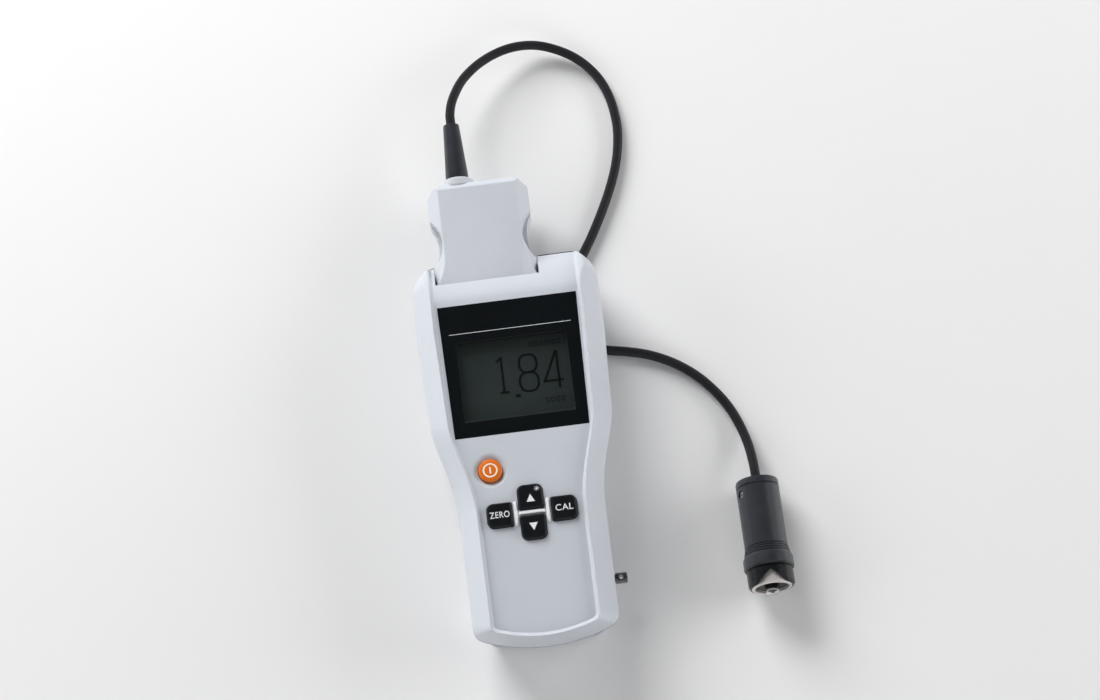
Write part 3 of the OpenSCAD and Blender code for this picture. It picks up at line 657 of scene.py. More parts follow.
ANODISED = Finish("probe_black", (0.024, 0.0272, 0.033), 0.34, "probe_black", metallic=0.15, mottle=0.10,
                  grain=Grain.TURNED, grain_scale=6500, grain_depth=0.006, tilt=2.18, specular=0.9)
NOSE = Finish("nose_black", (0.008, 0.0085, 0.0098), 0.26, "probe_black", metallic=0.1, mottle=0.12,
              grain=Grain.TURNED, grain_scale=6500, grain_depth=0.004, tilt=2.18)
SILVER = Finish("tube_silver", (0.70, 0.66, 0.635), 0.34, "tube_silver", metallic=0.45, mottle=0.05,
                grain=Grain.TURNED, grain_scale=7000, grain_depth=0.005, tilt=2.18)
CHROME = Finish("pole_chrome", (0.74, 0.75, 0.77), 0.14, "pole_chrome", metallic=1.0, mottle=0.04, grain_depth=0.002)
POLE_BLACK = Finish("pole_black", (0.008, 0.008, 0.009), 0.38, "pole_black", mottle=0.2, grain_depth=0.006)
STEEL = Finish("contact_steel", (0.46, 0.46, 0.47), 0.28, "contact_steel", metallic=1.0, mottle=0.08,
               grain=Grain.DRAWN, grain_scale=5000, grain_depth=0.006)
POST = Finish("post_steel", (0.20, 0.20, 0.205), 0.26, "contact_steel", metallic=1.0, mottle=0.08, grain_depth=0.004)
CELL = Finish("cell_wrap", (0.045, 0.10, 0.22), 0.3, "cell_wrap", metallic=0.3, mottle=0.08, grain_depth=0.004)
BOARD = Finish("board_green", (0.012, 0.075, 0.03), 0.42, "board_green", mottle=0.25, mottle_scale=420,
               grain_scale=1400, grain_depth=0.02)
SOCKET = Finish("socket_black", (0.012, 0.012, 0.013), 0.5, "socket_black", mottle=0.15)
FRAME_GREY = Finish("frame_grey", (0.10, 0.105, 0.105), 0.5, "frame_grey", mottle=0.06)
COPPER = Finish("coil_copper", (0.55, 0.21, 0.07), 0.32, "coil_copper", metallic=1.0, mottle=0.12,
                grain=Grain.TURNED, grain_scale=9000, grain_depth=0.02, tilt=2.18)
FLOOR = Finish("floor_pale", (0.81, 0.81, 0.81), 0.75, mottle=0.006, mottle_scale=9, grain_scale=500, grain_depth=0.01)


@dataclass(frozen=True)
class LensFinish(Finish):
    """Clear moulded window with a faint grey tint."""

    ior: float = 1.47

    def draw(self) -> bpy.types.Material:
        """Draws clear plastic whose gloss drifts a little over its face.

        Returns:
            The new material.
        """
        s = Sketch(self.name)
        self.gloss(s, self.mottle_scale, 2)
        s.fill(s.shader, Base_Color=self.colour, Transmission_Weight=1.0, IOR=self.ior)
        return s.material


@dataclass(frozen=True)
class ScreenFinish(Finish):
    """Unlit liquid crystal glass: grey green with a faint dot matrix, and painted light that makes it paler towards its
    lower edge and darker at its top, where the window's lip shadows it.
    """

    low_y: float = 9.4
    high_y: float = 42.4
    # painted light: strength of the glass's colour at its lower edge against one at its top, so the lower edge reads
    # lit and the top shadowed by the window's lip
    pale: float = 1.18
    pitch: float = 0.36
    line: float = 0.12
    line_dark: float = 0.5
    line_share: float = 0.16

    def draw(self) -> bpy.types.Material:
        """Draws the painted light that pales the glass from its top down to its lower edge, the dot matrix and the
        gloss of the glass.

        Returns:
            The new material.
        """
        s = Sketch(self.name)
        axes = s.node("ShaderNodeSeparateXYZ", Vector=s.place)
        height = s.span(axes.outputs["Y"], 0, 1, self.low_y * MM, self.high_y * MM)
        pitch = self.pitch * MM
        across, along = (s.span(s.compute("PINGPONG", axes.outputs[axis], pitch / 2), 1, 0, 0, pitch * self.line)
                         for axis in ("X", "Y"))
        grid = s.span(s.compute("MAXIMUM", across, along), 0, self.line_share, 0, 1)
        # painted light: the colour pales from the top of the glass down to its lower edge, as if lit there and shadowed
        # above by the window's lip
        painted_light_colour = s.blend(height, self.tone(self.pale), self.colour)
        s.fill(s.shader, Base_Color=s.blend(grid, painted_light_colour, self.tone(self.line_dark)), Specular_IOR_Level=self.specular)
        self.gloss(s, self.mottle_scale, 3)
        return s.material


LENS = LensFinish("lens_clear", (0.86, 0.9, 0.89), 0.035, "lens_clear", sheen_drift=0.015)
SCREEN = ScreenFinish("display_glass", (0.0142, 0.0202, 0.0188), 0.36, "display_glass", mottle_scale=220,
                      sheen_drift=0.06, specular=0.35)


# Sub-assemblies

@dataclass(frozen=True)
class Lamp:
    """Soft light that faces the object, in metres and watts.

    Reflections and clear pieces show only a share of it, the gloss, so that its image doesn't blind a low view.
    """

    name: str
    place: tuple[float, float, float]
    size: tuple[float, float]
    power: float
    gloss: float

    def build(self, target: Vector) -> None:
        """Adds the light as two in one place, for lit surfaces and for reflections.

        Args:
            target: Point that it faces.
        """
        for part, share in (("soft", 1.0), ("sheen", self.gloss)):
            data = bpy.data.lights.new(f"{self.name}_{part}", "AREA")
            data.shape, (data.size, data.size_y), data.energy = "RECTANGLE", self.size, self.power * share
            light = bpy.data.objects.new(data.name, data)
            light.location = self.place
            light.rotation_euler = (Vector(self.place) - target).to_track_quat("Z", "Y").to_euler()
            light.visible_diffuse = part == "soft"
            light.visible_glossy = light.visible_transmission = part == "sheen"
            bpy.context.scene.collection.objects.link(light)


@dataclass
class Studio:
    """Plain pale floor, soft studio light and the photograph's camera. Lengths are in metres."""

    target: tuple[float, float, float] = (0.01433, 0.0394, 0.015)
    distance: float = 1.3
    elevation: float = 70.0
    roll: float = -7.195
    focal_share: float = 3349.19 / 1100
    sensor: float = 36.0
    clip: tuple[float, float] = (0.05, 20.0)
    floor_half: float = 6.0
    floor_gap: float = 0.00002
    sky: Colour = (0.93, 0.95, 1.0)
    sky_power: float = 0.08
    lamps: tuple[Lamp, ...] = (
        Lamp("key", (-0.62, 1.31, 0.75), (1.0, 0.8), 33.0, 0.3),
        Lamp("left", (-1.53, 0.12, 0.5), (1.3, 0.7), 10.5, 1.0),
        Lamp("right", (1.55, 0.2, 0.5), (1.3, 0.7), 18.5, 0.8),
        Lamp("front", (0.1, -1.4, 0.62), (1.2, 0.8), 9.0, 1.0),
    )

    def camera(self) -> None:
        """Places the camera at the photograph's viewing angle."""
        e, r = math.radians(self.elevation), math.radians(self.roll)
        back = Vector((0, -math.cos(e), math.sin(e)))
        right = Vector((1, 0, 0))
        up = back.cross(right)
        turned = math.cos(r) * right + math.sin(r) * up
        above = back.cross(turned)
        data = bpy.data.cameras.new("camera")
        data.sensor_width = self.sensor
        data.lens = self.sensor * self.focal_share
        data.clip_start, data.clip_end = self.clip
        eye = bpy.data.objects.new("camera", data)
        place = Matrix((turned, above, back)).transposed().to_4x4()
        place.translation = Vector(self.target) + back * self.distance
        eye.matrix_world = place
        bpy.context.scene.collection.objects.link(eye)
        bpy.context.scene.camera = eye

    def floor(self) -> None:
        """Lays the floor just under the object."""
        half, z = self.floor_half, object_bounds()[0].z - self.floor_gap
        mesh = bpy.data.meshes.new("floor")
        mesh.from_pydata([(-half, -half, z), (half, -half, z), (half, half, z), (-half, half, z)], [], [(0, 1, 2, 3)])
        mesh.materials.append(FLOOR.material())
        ground = bpy.data.objects.new("floor", mesh)
        bpy.context.scene.collection.objects.link(ground)
        ground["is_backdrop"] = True

    def lights(self) -> None:
        """Sets the key light beyond the plug end, low ones at both sides and a weak one before the lower end."""
        for lamp in self.lamps:
            lamp.build(Vector(self.target))
        world = bpy.data.worlds.new("surround")
        world.use_nodes = True
        back = world.node_tree.nodes["Background"]
        back.inputs[0].default_value = (*self.sky, 1)
        back.inputs[1].default_value = self.sky_power
        bpy.context.scene.world = world
        bpy.context.scene.view_settings.view_transform = "Standard"


@dataclass
class ProbeLead:
    """Cord from the plug module to the probe, with its strain relief."""

    diameter: float = 3.7
    relief_x: float = -13.6
    relief_end: float = 138.0
    height: float = 16.7
    plug_end: float = 111.0
    probe_x: float = 86.6
    probe_y: float = -22.0
    barrel_r: float = 8.25
    tilt: float = 2.184
    lift: float = 0.03
    sides: int = 24
    sleeve: tuple[tuple[float, float], ...] = (
        (1.86, -5.2), (5.4, -5.2), (5.4, -2.7), (4.05, -2.7), (4.05, 2.6), (4.52, 2.62), (4.45, 6.0), (3.18, 27.0),
        (1.86, 27.0), (1.86, -5.2),
    )

    @property
    def rear_z(self) -> float:
        """Height of the probe's axis at its rear face."""
        return self.barrel_r * math.cos(math.radians(self.tilt)) + 0.02

    def route(self) -> Array:
        """Points that the cord passes, out of the relief, round its loop, under the head and to the probe.

        Returns:
            Points in millimetres.
        """
        low, x, mid = self.diameter / 2 + self.lift, self.relief_x, self.height
        a = math.radians(self.tilt)
        inward = np.array([0, -math.cos(a), math.sin(a)])
        rear = np.array([self.probe_x, self.probe_y, self.rear_z])
        points = [
            (x, 119, mid), (x, self.relief_end, mid), (-13.3, 144.5, 16.2), (-11.2, 151.5, 14.9), (-6.4, 159.8, 12.8),
            (1.8, 167.4, 10.4), (12, 172.5, 8), (22.2, 173.9, 5.8), (31.5, 171.6, 4.1), (40, 166.5, 2.9),
            (46.6, 158.8, 2.2), (50.6, 149.4, low), (52.2, 138.5, low), (51.8, 129.5, low), (49.8, 119.5, low),
            (46.2, 109.4, low), (41.6, 99.4, low), (36.4, 89.6, low), (31.4, 81.4, low), (27.2, 74, low),
            (24.2, 67, low), (23, 60, low), (23.6, 53, low), (26.4, 47, low), (31.2, 43, low), (37, 41, low),
            (44.6, 39.4, low), (53.3, 36.7, low), (61.8, 32.3, low), (69.6, 26.2, low), (76, 18.8, low),
            (80.8, 11, low), (84, 2.6, 2.4), (85.8, -5.5, 4), (86.5, -13.5, 6.8), (86.6, -19, self.rear_z + 0.1),
        ]
        return np.concatenate([np.array(points, float), [rear + 0.5 * inward, rear + 3.6 * inward]])

    def build(self) -> None:
        path = through(self.route(), 12)
        tube = tube_grid(path, self.diameter / 2, self.sides)
        cord = new_piece("lead", tube, tube_faces(len(path), self.sides), Body.PROBE, RUBBER)
        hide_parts("probe_cord")
        self.relief()

    def relief(self) -> None:
        """Turns the tapered sleeve round the cord, with a lip at its thin end."""
        profile = rounded_profile(self.sleeve, 0.22)
        place = revolve_along_y(profile, (self.relief_x, self.plug_end, self.height))
        sleeve = new_piece("relief_sleeve", place, grid_quads(*place.shape[:2], True), Body.PROBE, RELIEF)
        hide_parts("strain_relief")


@dataclass
class FrontCover:
    """Moulded front of the housing: bevelled sides, a raised rim, the recessed face and its roll-off."""

    half_len: float = 78.3
    head_half: float = 36.4
    corner_x: float = 27.6
    corner_y: float = 67.3
    waist_y: tuple[float, float] = (13.0, -24.0)
    waist_half: tuple[float, float] = (35.2, 28.0)
    grip_half: float = 27.7
    grip_y: float = -46.0
    foot: tuple[float, float] = (23.0, -74.0)
    seam: float = 15.4
    knee: float = 17.8
    rim: float = 30.0
    face: float = 28.0
    wall: float = 2.2
    roll_y: float = 59.5
    roll_drop: float = 11.5
    rim_inner: float = 7.32
    wall_foot: float = 8.5
    face_edge: float = 8.7
    slot: tuple[float, float] = (-26.7, 13.9)
    slot_y: float = 68.2
    slot_roof: float = 24.4
    dish_at: tuple[float, float] = (-13.9, -10.75)
    dish_r: float = 7.3

    def roll(self, y: Array) -> Array:
        """Height of the face at y: level, then falling with the 1.6th power of the way past the roll's start."""
        past = np.maximum(y - self.roll_y, 0) / (self.half_len - self.roll_y)
        return self.face - self.roll_drop * past**1.6

    def edge_columns(self) -> dict[str, Array]:
        """Widest outline from the plug end down the right, round the lower end and up the left.

        Returns:
            Arrays by column: x and y, the straight x0 that the recess keeps, the share kx by which an inset moves a
            column sideways, the share kw by which the waist slides with it, and for the lower end the zone (1 side,
            2 corner, 3 end arc) with the share along it.
        """
        head_x, corner_y, grip_x, grip_y = self.head_half, self.corner_y, self.grip_half, self.grip_y
        (top, low), (wide, slim), (foot_x, foot_y) = self.waist_y, self.waist_half, self.foot
        t = np.linspace(0, 1, 34)
        x, y = bezier(self.corner_x, 31.2, head_x, head_x, t), bezier(self.half_len, self.half_len, 71.5, corner_y, t)
        corner = (x, y, head_x, bezier(0.8, 0.8, 1, 1, t), 0, 0, 0)
        y = np.linspace(corner_y, top, 48)[1:]
        x = np.interp(y, [top, 30, 45, corner_y], [wide, 35.8, head_x, head_x])
        head = (x, y, x, 1, np.interp(y, [top, 30], [1, 0]), 0, 0)
        t = np.linspace(0, 1, 44)[1:]
        x = bezier(wide, 35.0, 28.3, slim, t)
        waist = (x, bezier(top, 4.5, -9, low, t), x, 1, 1, 0, 0)
        y = np.linspace(low, -corner_y, 32)[1:]
        x = np.interp(y, [-corner_y, grip_y, low], [grip_x, 27.85, slim])
        grip = (x, y, x, 1, np.interp(y, [grip_y, low], [0, 1]), y < grip_y, np.interp(y, [-corner_y, grip_y], [1, 0]))
        t = np.linspace(0, 1, 24)[1:]
        x = bezier(grip_x, grip_x, 26.4, foot_x, t)
        foot = (x, bezier(-corner_y, -71.3, -72.9, foot_y, t), x, 1, 0, 2, t)
        q = np.linspace(1, 0, 28)[1:]
        end = (foot_x * q, -self.half_len + (foot_y + self.half_len) * q * q, foot_x * q, q, 0, 3, q)
        parts = [np.broadcast_arrays(*part) for part in (corner, head, waist, grip, foot, end)]
        right = [np.concatenate(part).astype(float) for part in zip(*parts)]
        signs = [-1, 1, -1, -1, 1, 1, 1]
        both = [np.concatenate([a, s * a[-2::-1]]) for a, s in zip(right, signs)]
        return dict(zip(("x", "y", "x0", "kx", "kw", "zone", "share"), both))

    def low_end(self, zone: Array, share: Array, s: Array, deep: float) -> tuple[Array, Array]:
        """Plan of the lower end at a sideways inset s, whose corner grows tighter towards the recess.

        The end is the arc y = y0 + k x^2, and a cubic curve of the widths a and b joins it to the straight side.

        Args:
            zone: Zone of each column.
            share: Share along its zone.
            s: Sideways inset of each column.
            deep: Extra lengthways inset.

        Returns:
            Distance from the middle line and y of each column.
        """
        wide = self.grip_half - s
        k = np.interp(s, [0, 7], [0.00813, 0.0098])
        a, b = np.interp(s, [0, 7, 9], [4.76, 2.6, 1.9]), np.interp(s, [0, 7, 9], [4.7, 2.6, 1.9])
        rise = np.interp(s, [0, 0.3, 6.6, 7.01, 7.32, 8.5, 12], [0, 0.05, 0.3, 0.42, 0.62, 2.25, 3.6])
        y0 = deep - self.half_len + rise
        tip = wide - b
        start, stop = y0 + k * wide**2 + a, y0 + k * tip**2
        corner = zone == 2
        x = np.where(corner, bezier(wide, wide, tip + 0.72 * b, tip, share), np.where(zone == 3, tip * share, wide))
        y = np.where(corner, bezier(start, start - 0.84 * a, stop + 1.44 * b * k * tip, stop, share), y0 + k * x**2)
        return x, np.where(zone == 1, self.grip_y + share * (start - self.grip_y), y)

    def columns(self) -> tuple[Array, Array]:
        """Cross-sections at every column of the outline, rounded at their edges.

        From the seam each runs up the side, over the bevel to the rim, across it, down the recess wall and onto
        the face; the inner one runs back under it. Past the roll's start the rim and the face follow the roll,
        and the rim ends where the corner narrows it away.

        Returns:
            The outer and the inner columns.
        """
        c = self.edge_columns()
        side = np.sign(c["x"]) + (c["x"] == 0)
        floor = self.roll(c["y"])
        low = c["zone"] > 0

        def slide(s: Array) -> Array:
            """Distance that the waist lies nearer the lower end at a sideways inset s."""
            return np.interp(s, [0, 0.3, 6.6, 7.4, 8.65], [0, 0, 3.6, 4.3, 5.2])

        def bevel(z: Array) -> Array:
            """Sideways inset of the outer skin at a height z."""
            return np.interp(z, [self.seam, self.knee, 29.25, self.rim], [0, 0.3, 6.6, 7.01])

        def at(x: Array, s: Array, z: Array, deep: float = 0.0) -> Array:
            """Points at x, with the y that a sideways inset s has, and height z."""
            end_x, end_y = self.low_end(c["zone"], c["share"], s, deep)
            return np.stack([np.where(low & (c["zone"] > 1), side * end_x, x),
                             np.where(low, end_y, c["y"] - c["kw"] * slide(s)), z], -1)

        def outer(s: Array, z: Array, deep: float = 0.0) -> Array:
            """Points of the outer skin at a sideways inset s and height z."""
            return at(c["x"] - c["kx"] * s, s, z, deep)

        one = np.ones_like(floor)
        straight = np.abs(c["x0"])
        top = floor + self.rim - self.face
        width = np.abs(c["x"]) - np.abs(c["kx"]) * bevel(top) - (straight - self.rim_inner * (c["kx"] != 0))
        rolled = c["y"] > self.roll_y
        top = np.where(rolled, floor + (self.rim - self.face) * smoothstep(-1.4, 0.25, width), top)
        s2 = bevel(top)
        z1 = np.minimum(self.knee, self.seam + 0.6 * (top - self.seam))
        q2 = outer(s2, top)
        limit = np.abs(q2[:, 0])
        inner_share = np.where(rolled, 1.0, np.abs(c["kx"]))
        xs = []
        for s in (self.rim_inner, self.wall_foot, self.face_edge):
            limit = np.minimum(straight - inner_share * s, limit - 0.03 * (limit > 0.2))
            xs.append(side * limit)
        poly = np.stack([
            outer(0 * one, self.seam * one), outer(bevel(z1), z1), q2, at(xs[0], self.rim_inner * one, top),
            at(xs[1], self.wall_foot * one, floor), at(xs[2], self.face_edge * one, floor),
        ], 1)
        over = round_columns(poly, [2.4, 1.0, 0.42, 0.3], 7, [2, 10, 2, 2, 1])
        under = np.maximum(np.minimum(floor - self.wall, self.face - self.wall), self.seam)
        reach = np.minimum(np.abs(xs[2]), np.abs(c["x"]) - 2.6 * np.abs(c["kx"]))
        back = np.stack([
            at(xs[2], self.face_edge * one, under), at(side * reach, 8.0 * one, under, 0.9),
            outer(2.6 * one, np.minimum(18.4, under), 2.2), outer(2.3 * one, self.seam * one, 2.1),
        ], 1)
        return over, back

    def holes(self) -> list[Array]:
        """Outlines of the openings in the face: the panel's pocket, the four keys and the power dish."""
        dish = np.array(self.dish_at) + circle(72, self.dish_r)
        pocket = np.array([(-25.82, 3.32), (25.82, 3.32), (27.08, 57.48), (-27.08, 57.48)])
        return [dish, pocket] + [key.ring(0.16) + np.array(key.at) for key in SQUARE_KEYS]

    def face_mesh(self, edge: Array) -> tuple[Array, list[list[int]]]:
        """Face between the strip's inner edge, the slot of the plug and the openings.

        The flat region is cut in triangles, lifted to the roll, given its thickness downwards, and walled where
        it is open.

        Args:
            edge: Inner edge of the strip in plan, from the plug end on the right to that on the left.

        Returns:
            Points and faces.
        """
        left, right = self.slot
        notch = np.array([
            (left, self.half_len), (left, self.slot_y + 0.4), (left + 0.4, self.slot_y), (right - 0.4, self.slot_y),
            (right, self.slot_y + 0.4), (right, self.half_len),
        ])
        cut = []
        for a, b in zip(notch[:-1], notch[1:]):
            share = np.linspace(0, 1, max(2, int(np.linalg.norm(b - a) / 1.6)))[:-1, None]
            cut.append(a * (1 - share) + b * share)
        rim = np.concatenate([edge, *cut, notch[-1:]])
        loops = [rim, *self.holes()]
        gx, gy = np.meshgrid(np.arange(-25.9, 26.4, 2.3), np.arange(58.3, 78.0, 0.95))
        inside = np.stack([gx.ravel(), gy.ravel()], 1)
        clear = (inside[:, 1] < self.slot_y - 0.6) | (inside[:, 0] > right + 0.8)
        points = np.concatenate([*loops, inside[clear]])
        edges, start = [], 0
        for loop in loops:
            k = np.arange(len(loop))
            edges.append(np.stack([start + k, start + (k + 1) % len(loop)], 1))
            start += len(loop)
        plan, _, triangles, origin, _, _ = delaunay_2d_cdt(
            [Vector(p) for p in points.tolist()], np.concatenate(edges).tolist(), [], 0, 1e-5)
        plan = np.array([tuple(p) for p in plan])
        first = np.array([min(o) if o else len(points) for o in origin])
        welded = (first < len(edge)) | ((first >= len(rim)) & (first < len(rim) + len(loops[1])))
        tri = np.array(triangles)
        tri = tri[inside_loops(plan[tri].mean(1), loops)]
        high = self.roll(plan[:, 1])
        low = np.maximum(high - self.wall, self.seam)
        roofed = (plan[:, 0] > left - 0.2) & (plan[:, 0] < right + 0.2) & (plan[:, 1] > 60)
        low = np.where(roofed, np.maximum(low, np.minimum(self.slot_roof, high - 0.12)), low)
        n = len(plan)
        rows = np.concatenate([np.column_stack([plan, high]), np.column_stack([plan, low])])
        pairs = np.concatenate([tri[:, [0, 1]], tri[:, [1, 2]], tri[:, [2, 0]]])
        code = np.sort(pairs, 1) @ np.array([n, 1])
        _, index, count = np.unique(code, return_index=True, return_counts=True)
        open_edges = pairs[index[count == 1]]
        open_edges = open_edges[~welded[open_edges].all(1)]
        walls = np.column_stack([open_edges[:, 1], open_edges[:, 0], open_edges[:, 0] + n, open_edges[:, 1] + n])
        return rows, [*tri.tolist(), *(tri[:, ::-1] + n).tolist(), *walls.tolist()]

    def dish(self) -> Array:
        """Soft dish round the power key, as a ring closed down to the underside of the face.

        Returns:
            Points, as profile by circle by coordinates.
        """
        profile = np.array([
            (self.dish_r, self.face), (7.0, 27.985), (6.6, 27.9), (6.2, 27.76), (5.8, 27.58), (5.4, 27.38),
            (5.0, 27.2), (4.78, 27.08), (4.7, 26.9), (4.7, self.face - self.wall),
            (self.dish_r, self.face - self.wall),
        ])
        return revolve_grid(profile, 72) + np.array([*self.dish_at, 0])

    def build(self) -> None:
        """Joins the strip, the face and the dish into one closed skin."""
        over, back = self.columns()
        loop = np.concatenate([over[:, ::-1], back[:, ::-1]], 1)
        count, rows = loop.shape[:2]
        strip = [*grid_quads(count, rows).tolist(), *end_faces(count, rows)]
        plan, face = self.face_mesh(over[:, -1, :2])
        ring = self.dish()
        points, faces = joined([
            (loop.reshape(-1, 3), strip), (plan, face),
            (ring.reshape(-1, 3), grid_quads(*ring.shape[:2], True)),
        ])
        skin = new_piece("front_skin", points, faces, Body.HOUSING, SHELL, 38)
        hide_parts("front_cover")


@dataclass(frozen=True)
class SquareKey:
    """Square key, rounder at the corners that face away from the key group."""

    node: str
    body: Body
    at: tuple[float, float]
    radii: tuple[float, float, float, float]
    half: float = 4.86
    top: float = 29.5
    low: float = 24.3
    flange: float = 0.5
    flange_top: float = 25.5
    bevel: tuple[float, float] = (0.72, 0.8)
    dip: float = 0.01
    corner_steps: int = 9

    def ring(self, grow: float) -> Array:
        """Outline of the key, grown by a distance."""
        radii = [max(0.08, r + grow) for r in self.radii]
        return rounded_box_ring((self.half + grow,) * 2, radii, self.corner_steps)

    def build(self) -> None:
        """Lofts the key: a flange under the face, straight sides, a rounded bevel and a flat top."""
        (inset, drop), crown = self.bevel, self.top - self.dip
        bevel = rounded_profile([(0.0, 26.2), (0.0, self.top - drop), (-inset, self.top), (-1.5, crown)], 0.34, 6)
        stations = [(self.flange, self.low), (self.flange, self.flange_top), (0.0, self.flange_top), *bevel]
        n = 4 * self.corner_steps
        rings = np.array([np.column_stack([self.ring(grow), np.full(n, z)]) for grow, z in stations])
        share = np.array([0.72, 0.42, 0.16, 0.0])[:, None, None]
        flat = rings[-1:] * np.array([1, 1, 0]) * share
        flat[..., 2] = crown
        bottom = rings[:1] * np.array([0, 0, 1])
        grid = np.concatenate([bottom, rings, flat]) + np.array([*self.at, 0])
        piece = new_piece(f"{self.node}_cap", grid, grid_quads(len(grid), n, True), self.body, KEY, 50)
        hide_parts(self.node)


ROUND, CRISP = 2.6, 0.7
SQUARE_KEYS = (
    SquareKey("up_key", Body.UP, (0, -22.95), (ROUND, ROUND, CRISP, CRISP)),
    SquareKey("down_key", Body.DOWN, (0, -35.1), (CRISP, CRISP, ROUND, ROUND)),
    SquareKey("zero_key", Body.ZERO, (-12.3, -28.95), (CRISP, ROUND, ROUND, CRISP)),
    SquareKey("cal_key", Body.CAL, (12.3, -28.95), (ROUND, CRISP, CRISP, ROUND)),
)


@dataclass
class Keypad:
    """Keys, their printed legends and the ridges between them."""

    face: float = 28.0
    ink_z: float = 29.492
    power_at: tuple[float, float] = (-13.9, -10.75)
    power_r: float = 4.5
    power_ring: tuple[float, float] = (2.55, 0.6)
    power_bar: tuple[float, float] = (0.3, 1.32)
    sun_rays: tuple[float, float, float] = (0.6, 0.98, 0.09)
    word_height: float = 2.5
    word_width: float = 7.5
    ridge_rise: float = 0.8
    ridges_at: tuple[tuple[float, ...], ...] = (
        (-6.15, -29.0, 0.78, 4.9), (6.15, -29.0, 0.78, 4.9), (0, -29.02, 5.2, 0.72),
    )

    def power(self) -> None:
        """Turns the power key as a low dome with a rounded edge, and prints its ring and bar."""
        r = self.power_r
        profile = rounded_profile([
            (0, 24.3), (r + 1, 24.3), (r + 1, 25.5), (r, 25.5), (r, 28.3), (r - 0.5, 28.68), (r - 2, 28.8), (0, 28.86),
        ], 0.3)
        dome = revolve_grid(profile, 72) + np.array([*self.power_at, 0])
        key = new_piece("power_cap", dome, grid_quads(len(profile), 72, True), Body.POWER, ORANGE, 50)
        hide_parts("power_key")
        radius, width = self.power_ring
        ring, quads = ribbon(np.array(self.power_at) + circle(64, radius), width, True)
        flat_print("power_ring", ring, quads.tolist(), 28.81, Body.POWER, INK_PALE)
        bar = np.array(self.power_at) + rounded_box_ring(self.power_bar, (0.16,) * 4, 4)
        flat_print("power_bar", bar, [list(range(len(bar)))], 28.85, Body.POWER, INK_PALE)

    def arrows(self) -> None:
        """Prints the two arrow heads and the small lamp sign."""
        up, down = (np.array(key.at) for key in SQUARE_KEYS[:2])
        head = np.array([(-1.6, -1.4), (1.6, -1.4), (0, 1.62)])
        flat_print("up_arrow", head + up + (0, -0.9), [[0, 1, 2]], self.ink_z, Body.UP, INK)
        flat_print("down_arrow", -head + down + (0, 0.1), [[0, 1, 2]], self.ink_z, Body.DOWN, INK)
        spot = up + (2.75, 2.6)
        flat_print("lamp_dot", circle(20, 0.42) + spot, [list(range(20))], self.ink_z, Body.UP, INK)
        near, far, half = self.sun_rays
        ray = circle(8)
        across = ray[:, ::-1] * (-half, half)
        corners = np.stack([ray * near + across, ray * near - across, ray * far - across, ray * far + across], 1)
        rays = corners.reshape(-1, 2) + spot
        flat_print("lamp_rays", rays, np.arange(32).reshape(8, 4).tolist(), self.ink_z, Body.UP, INK)

    def word(self, text: str, key: SquareKey) -> None:
        """Prints a word in plain capitals on a key.

        Args:
            text: Word to print.
            key: Key that carries it.
        """
        data = bpy.data.curves.new(f"{text.lower()}_word", "FONT")
        data.body, data.size, data.align_x, data.align_y = text, 1.0, "CENTER", "CENTER"
        data.offset, data.extrude, data.space_character = 0.008, 0.006, 1.1
        shape = bpy.data.objects.new("word_shape", data)
        bpy.context.scene.collection.objects.link(shape)
        graph = bpy.context.evaluated_depsgraph_get()
        mesh = bpy.data.meshes.new_from_object(shape.evaluated_get(graph))
        bpy.data.objects.remove(shape)
        remap(mesh, lambda points: self.fitted(points, key.at))
        settle(f"{text.lower()}_word", mesh, key.body, INK, 60)

    def fitted(self, points: Array, at: tuple[float, float]) -> Array:
        """Fits a word of any size to its height, or narrower to its width, on top of a key.

        Args:
            points: Points of the word.
            at: Middle of the key.

        Returns:
            Points in millimetres.
        """
        plan, low, high = points[:, :2], points[:, :2].min(0), points[:, :2].max(0)
        wide, tall = np.array([self.word_width, self.word_height]) / (high - low)
        plan = (plan - (high + low) / 2) * np.array([min(tall, wide), tall]) + np.array(at)
        return np.column_stack([plan, np.where(points[:, 2] > 0, INK_THICK, 0) + self.ink_z])

    def ridges(self) -> None:
        """Raises the three bars between the keys.

        Each is the upper and lower half of |x/a|^6 + |y/b|^6 + (z/c)^2 = 1, sunk to its middle in the face.
        """
        v = np.linspace(-np.pi / 2, np.pi / 2, 17)[:, None]
        power = 2 / 6
        cx, cy = signed_power(circle(64), power).T
        wide = np.cos(v) ** power
        bars = []
        for x, y, a, b in self.ridges_at:
            z = self.face + self.ridge_rise * np.sin(v) + 0 * cx
            grid = np.stack([x + a * wide * cx, y + b * wide * cy, z], -1)
            bars.append((grid.reshape(-1, 3), grid_quads(17, 64, True)))
        new_piece("key_ridges", *joined(bars), Body.HOUSING, RIDGE, 60)

    def build(self) -> None:
        """Makes the keys, then what is printed on them, then the ridges."""
        for key in SQUARE_KEYS:
            key.build()
        self.power()
        self.arrows()
        self.word("ZERO", SQUARE_KEYS[2])
        self.word("CAL", SQUARE_KEYS[3])
        self.ridges()


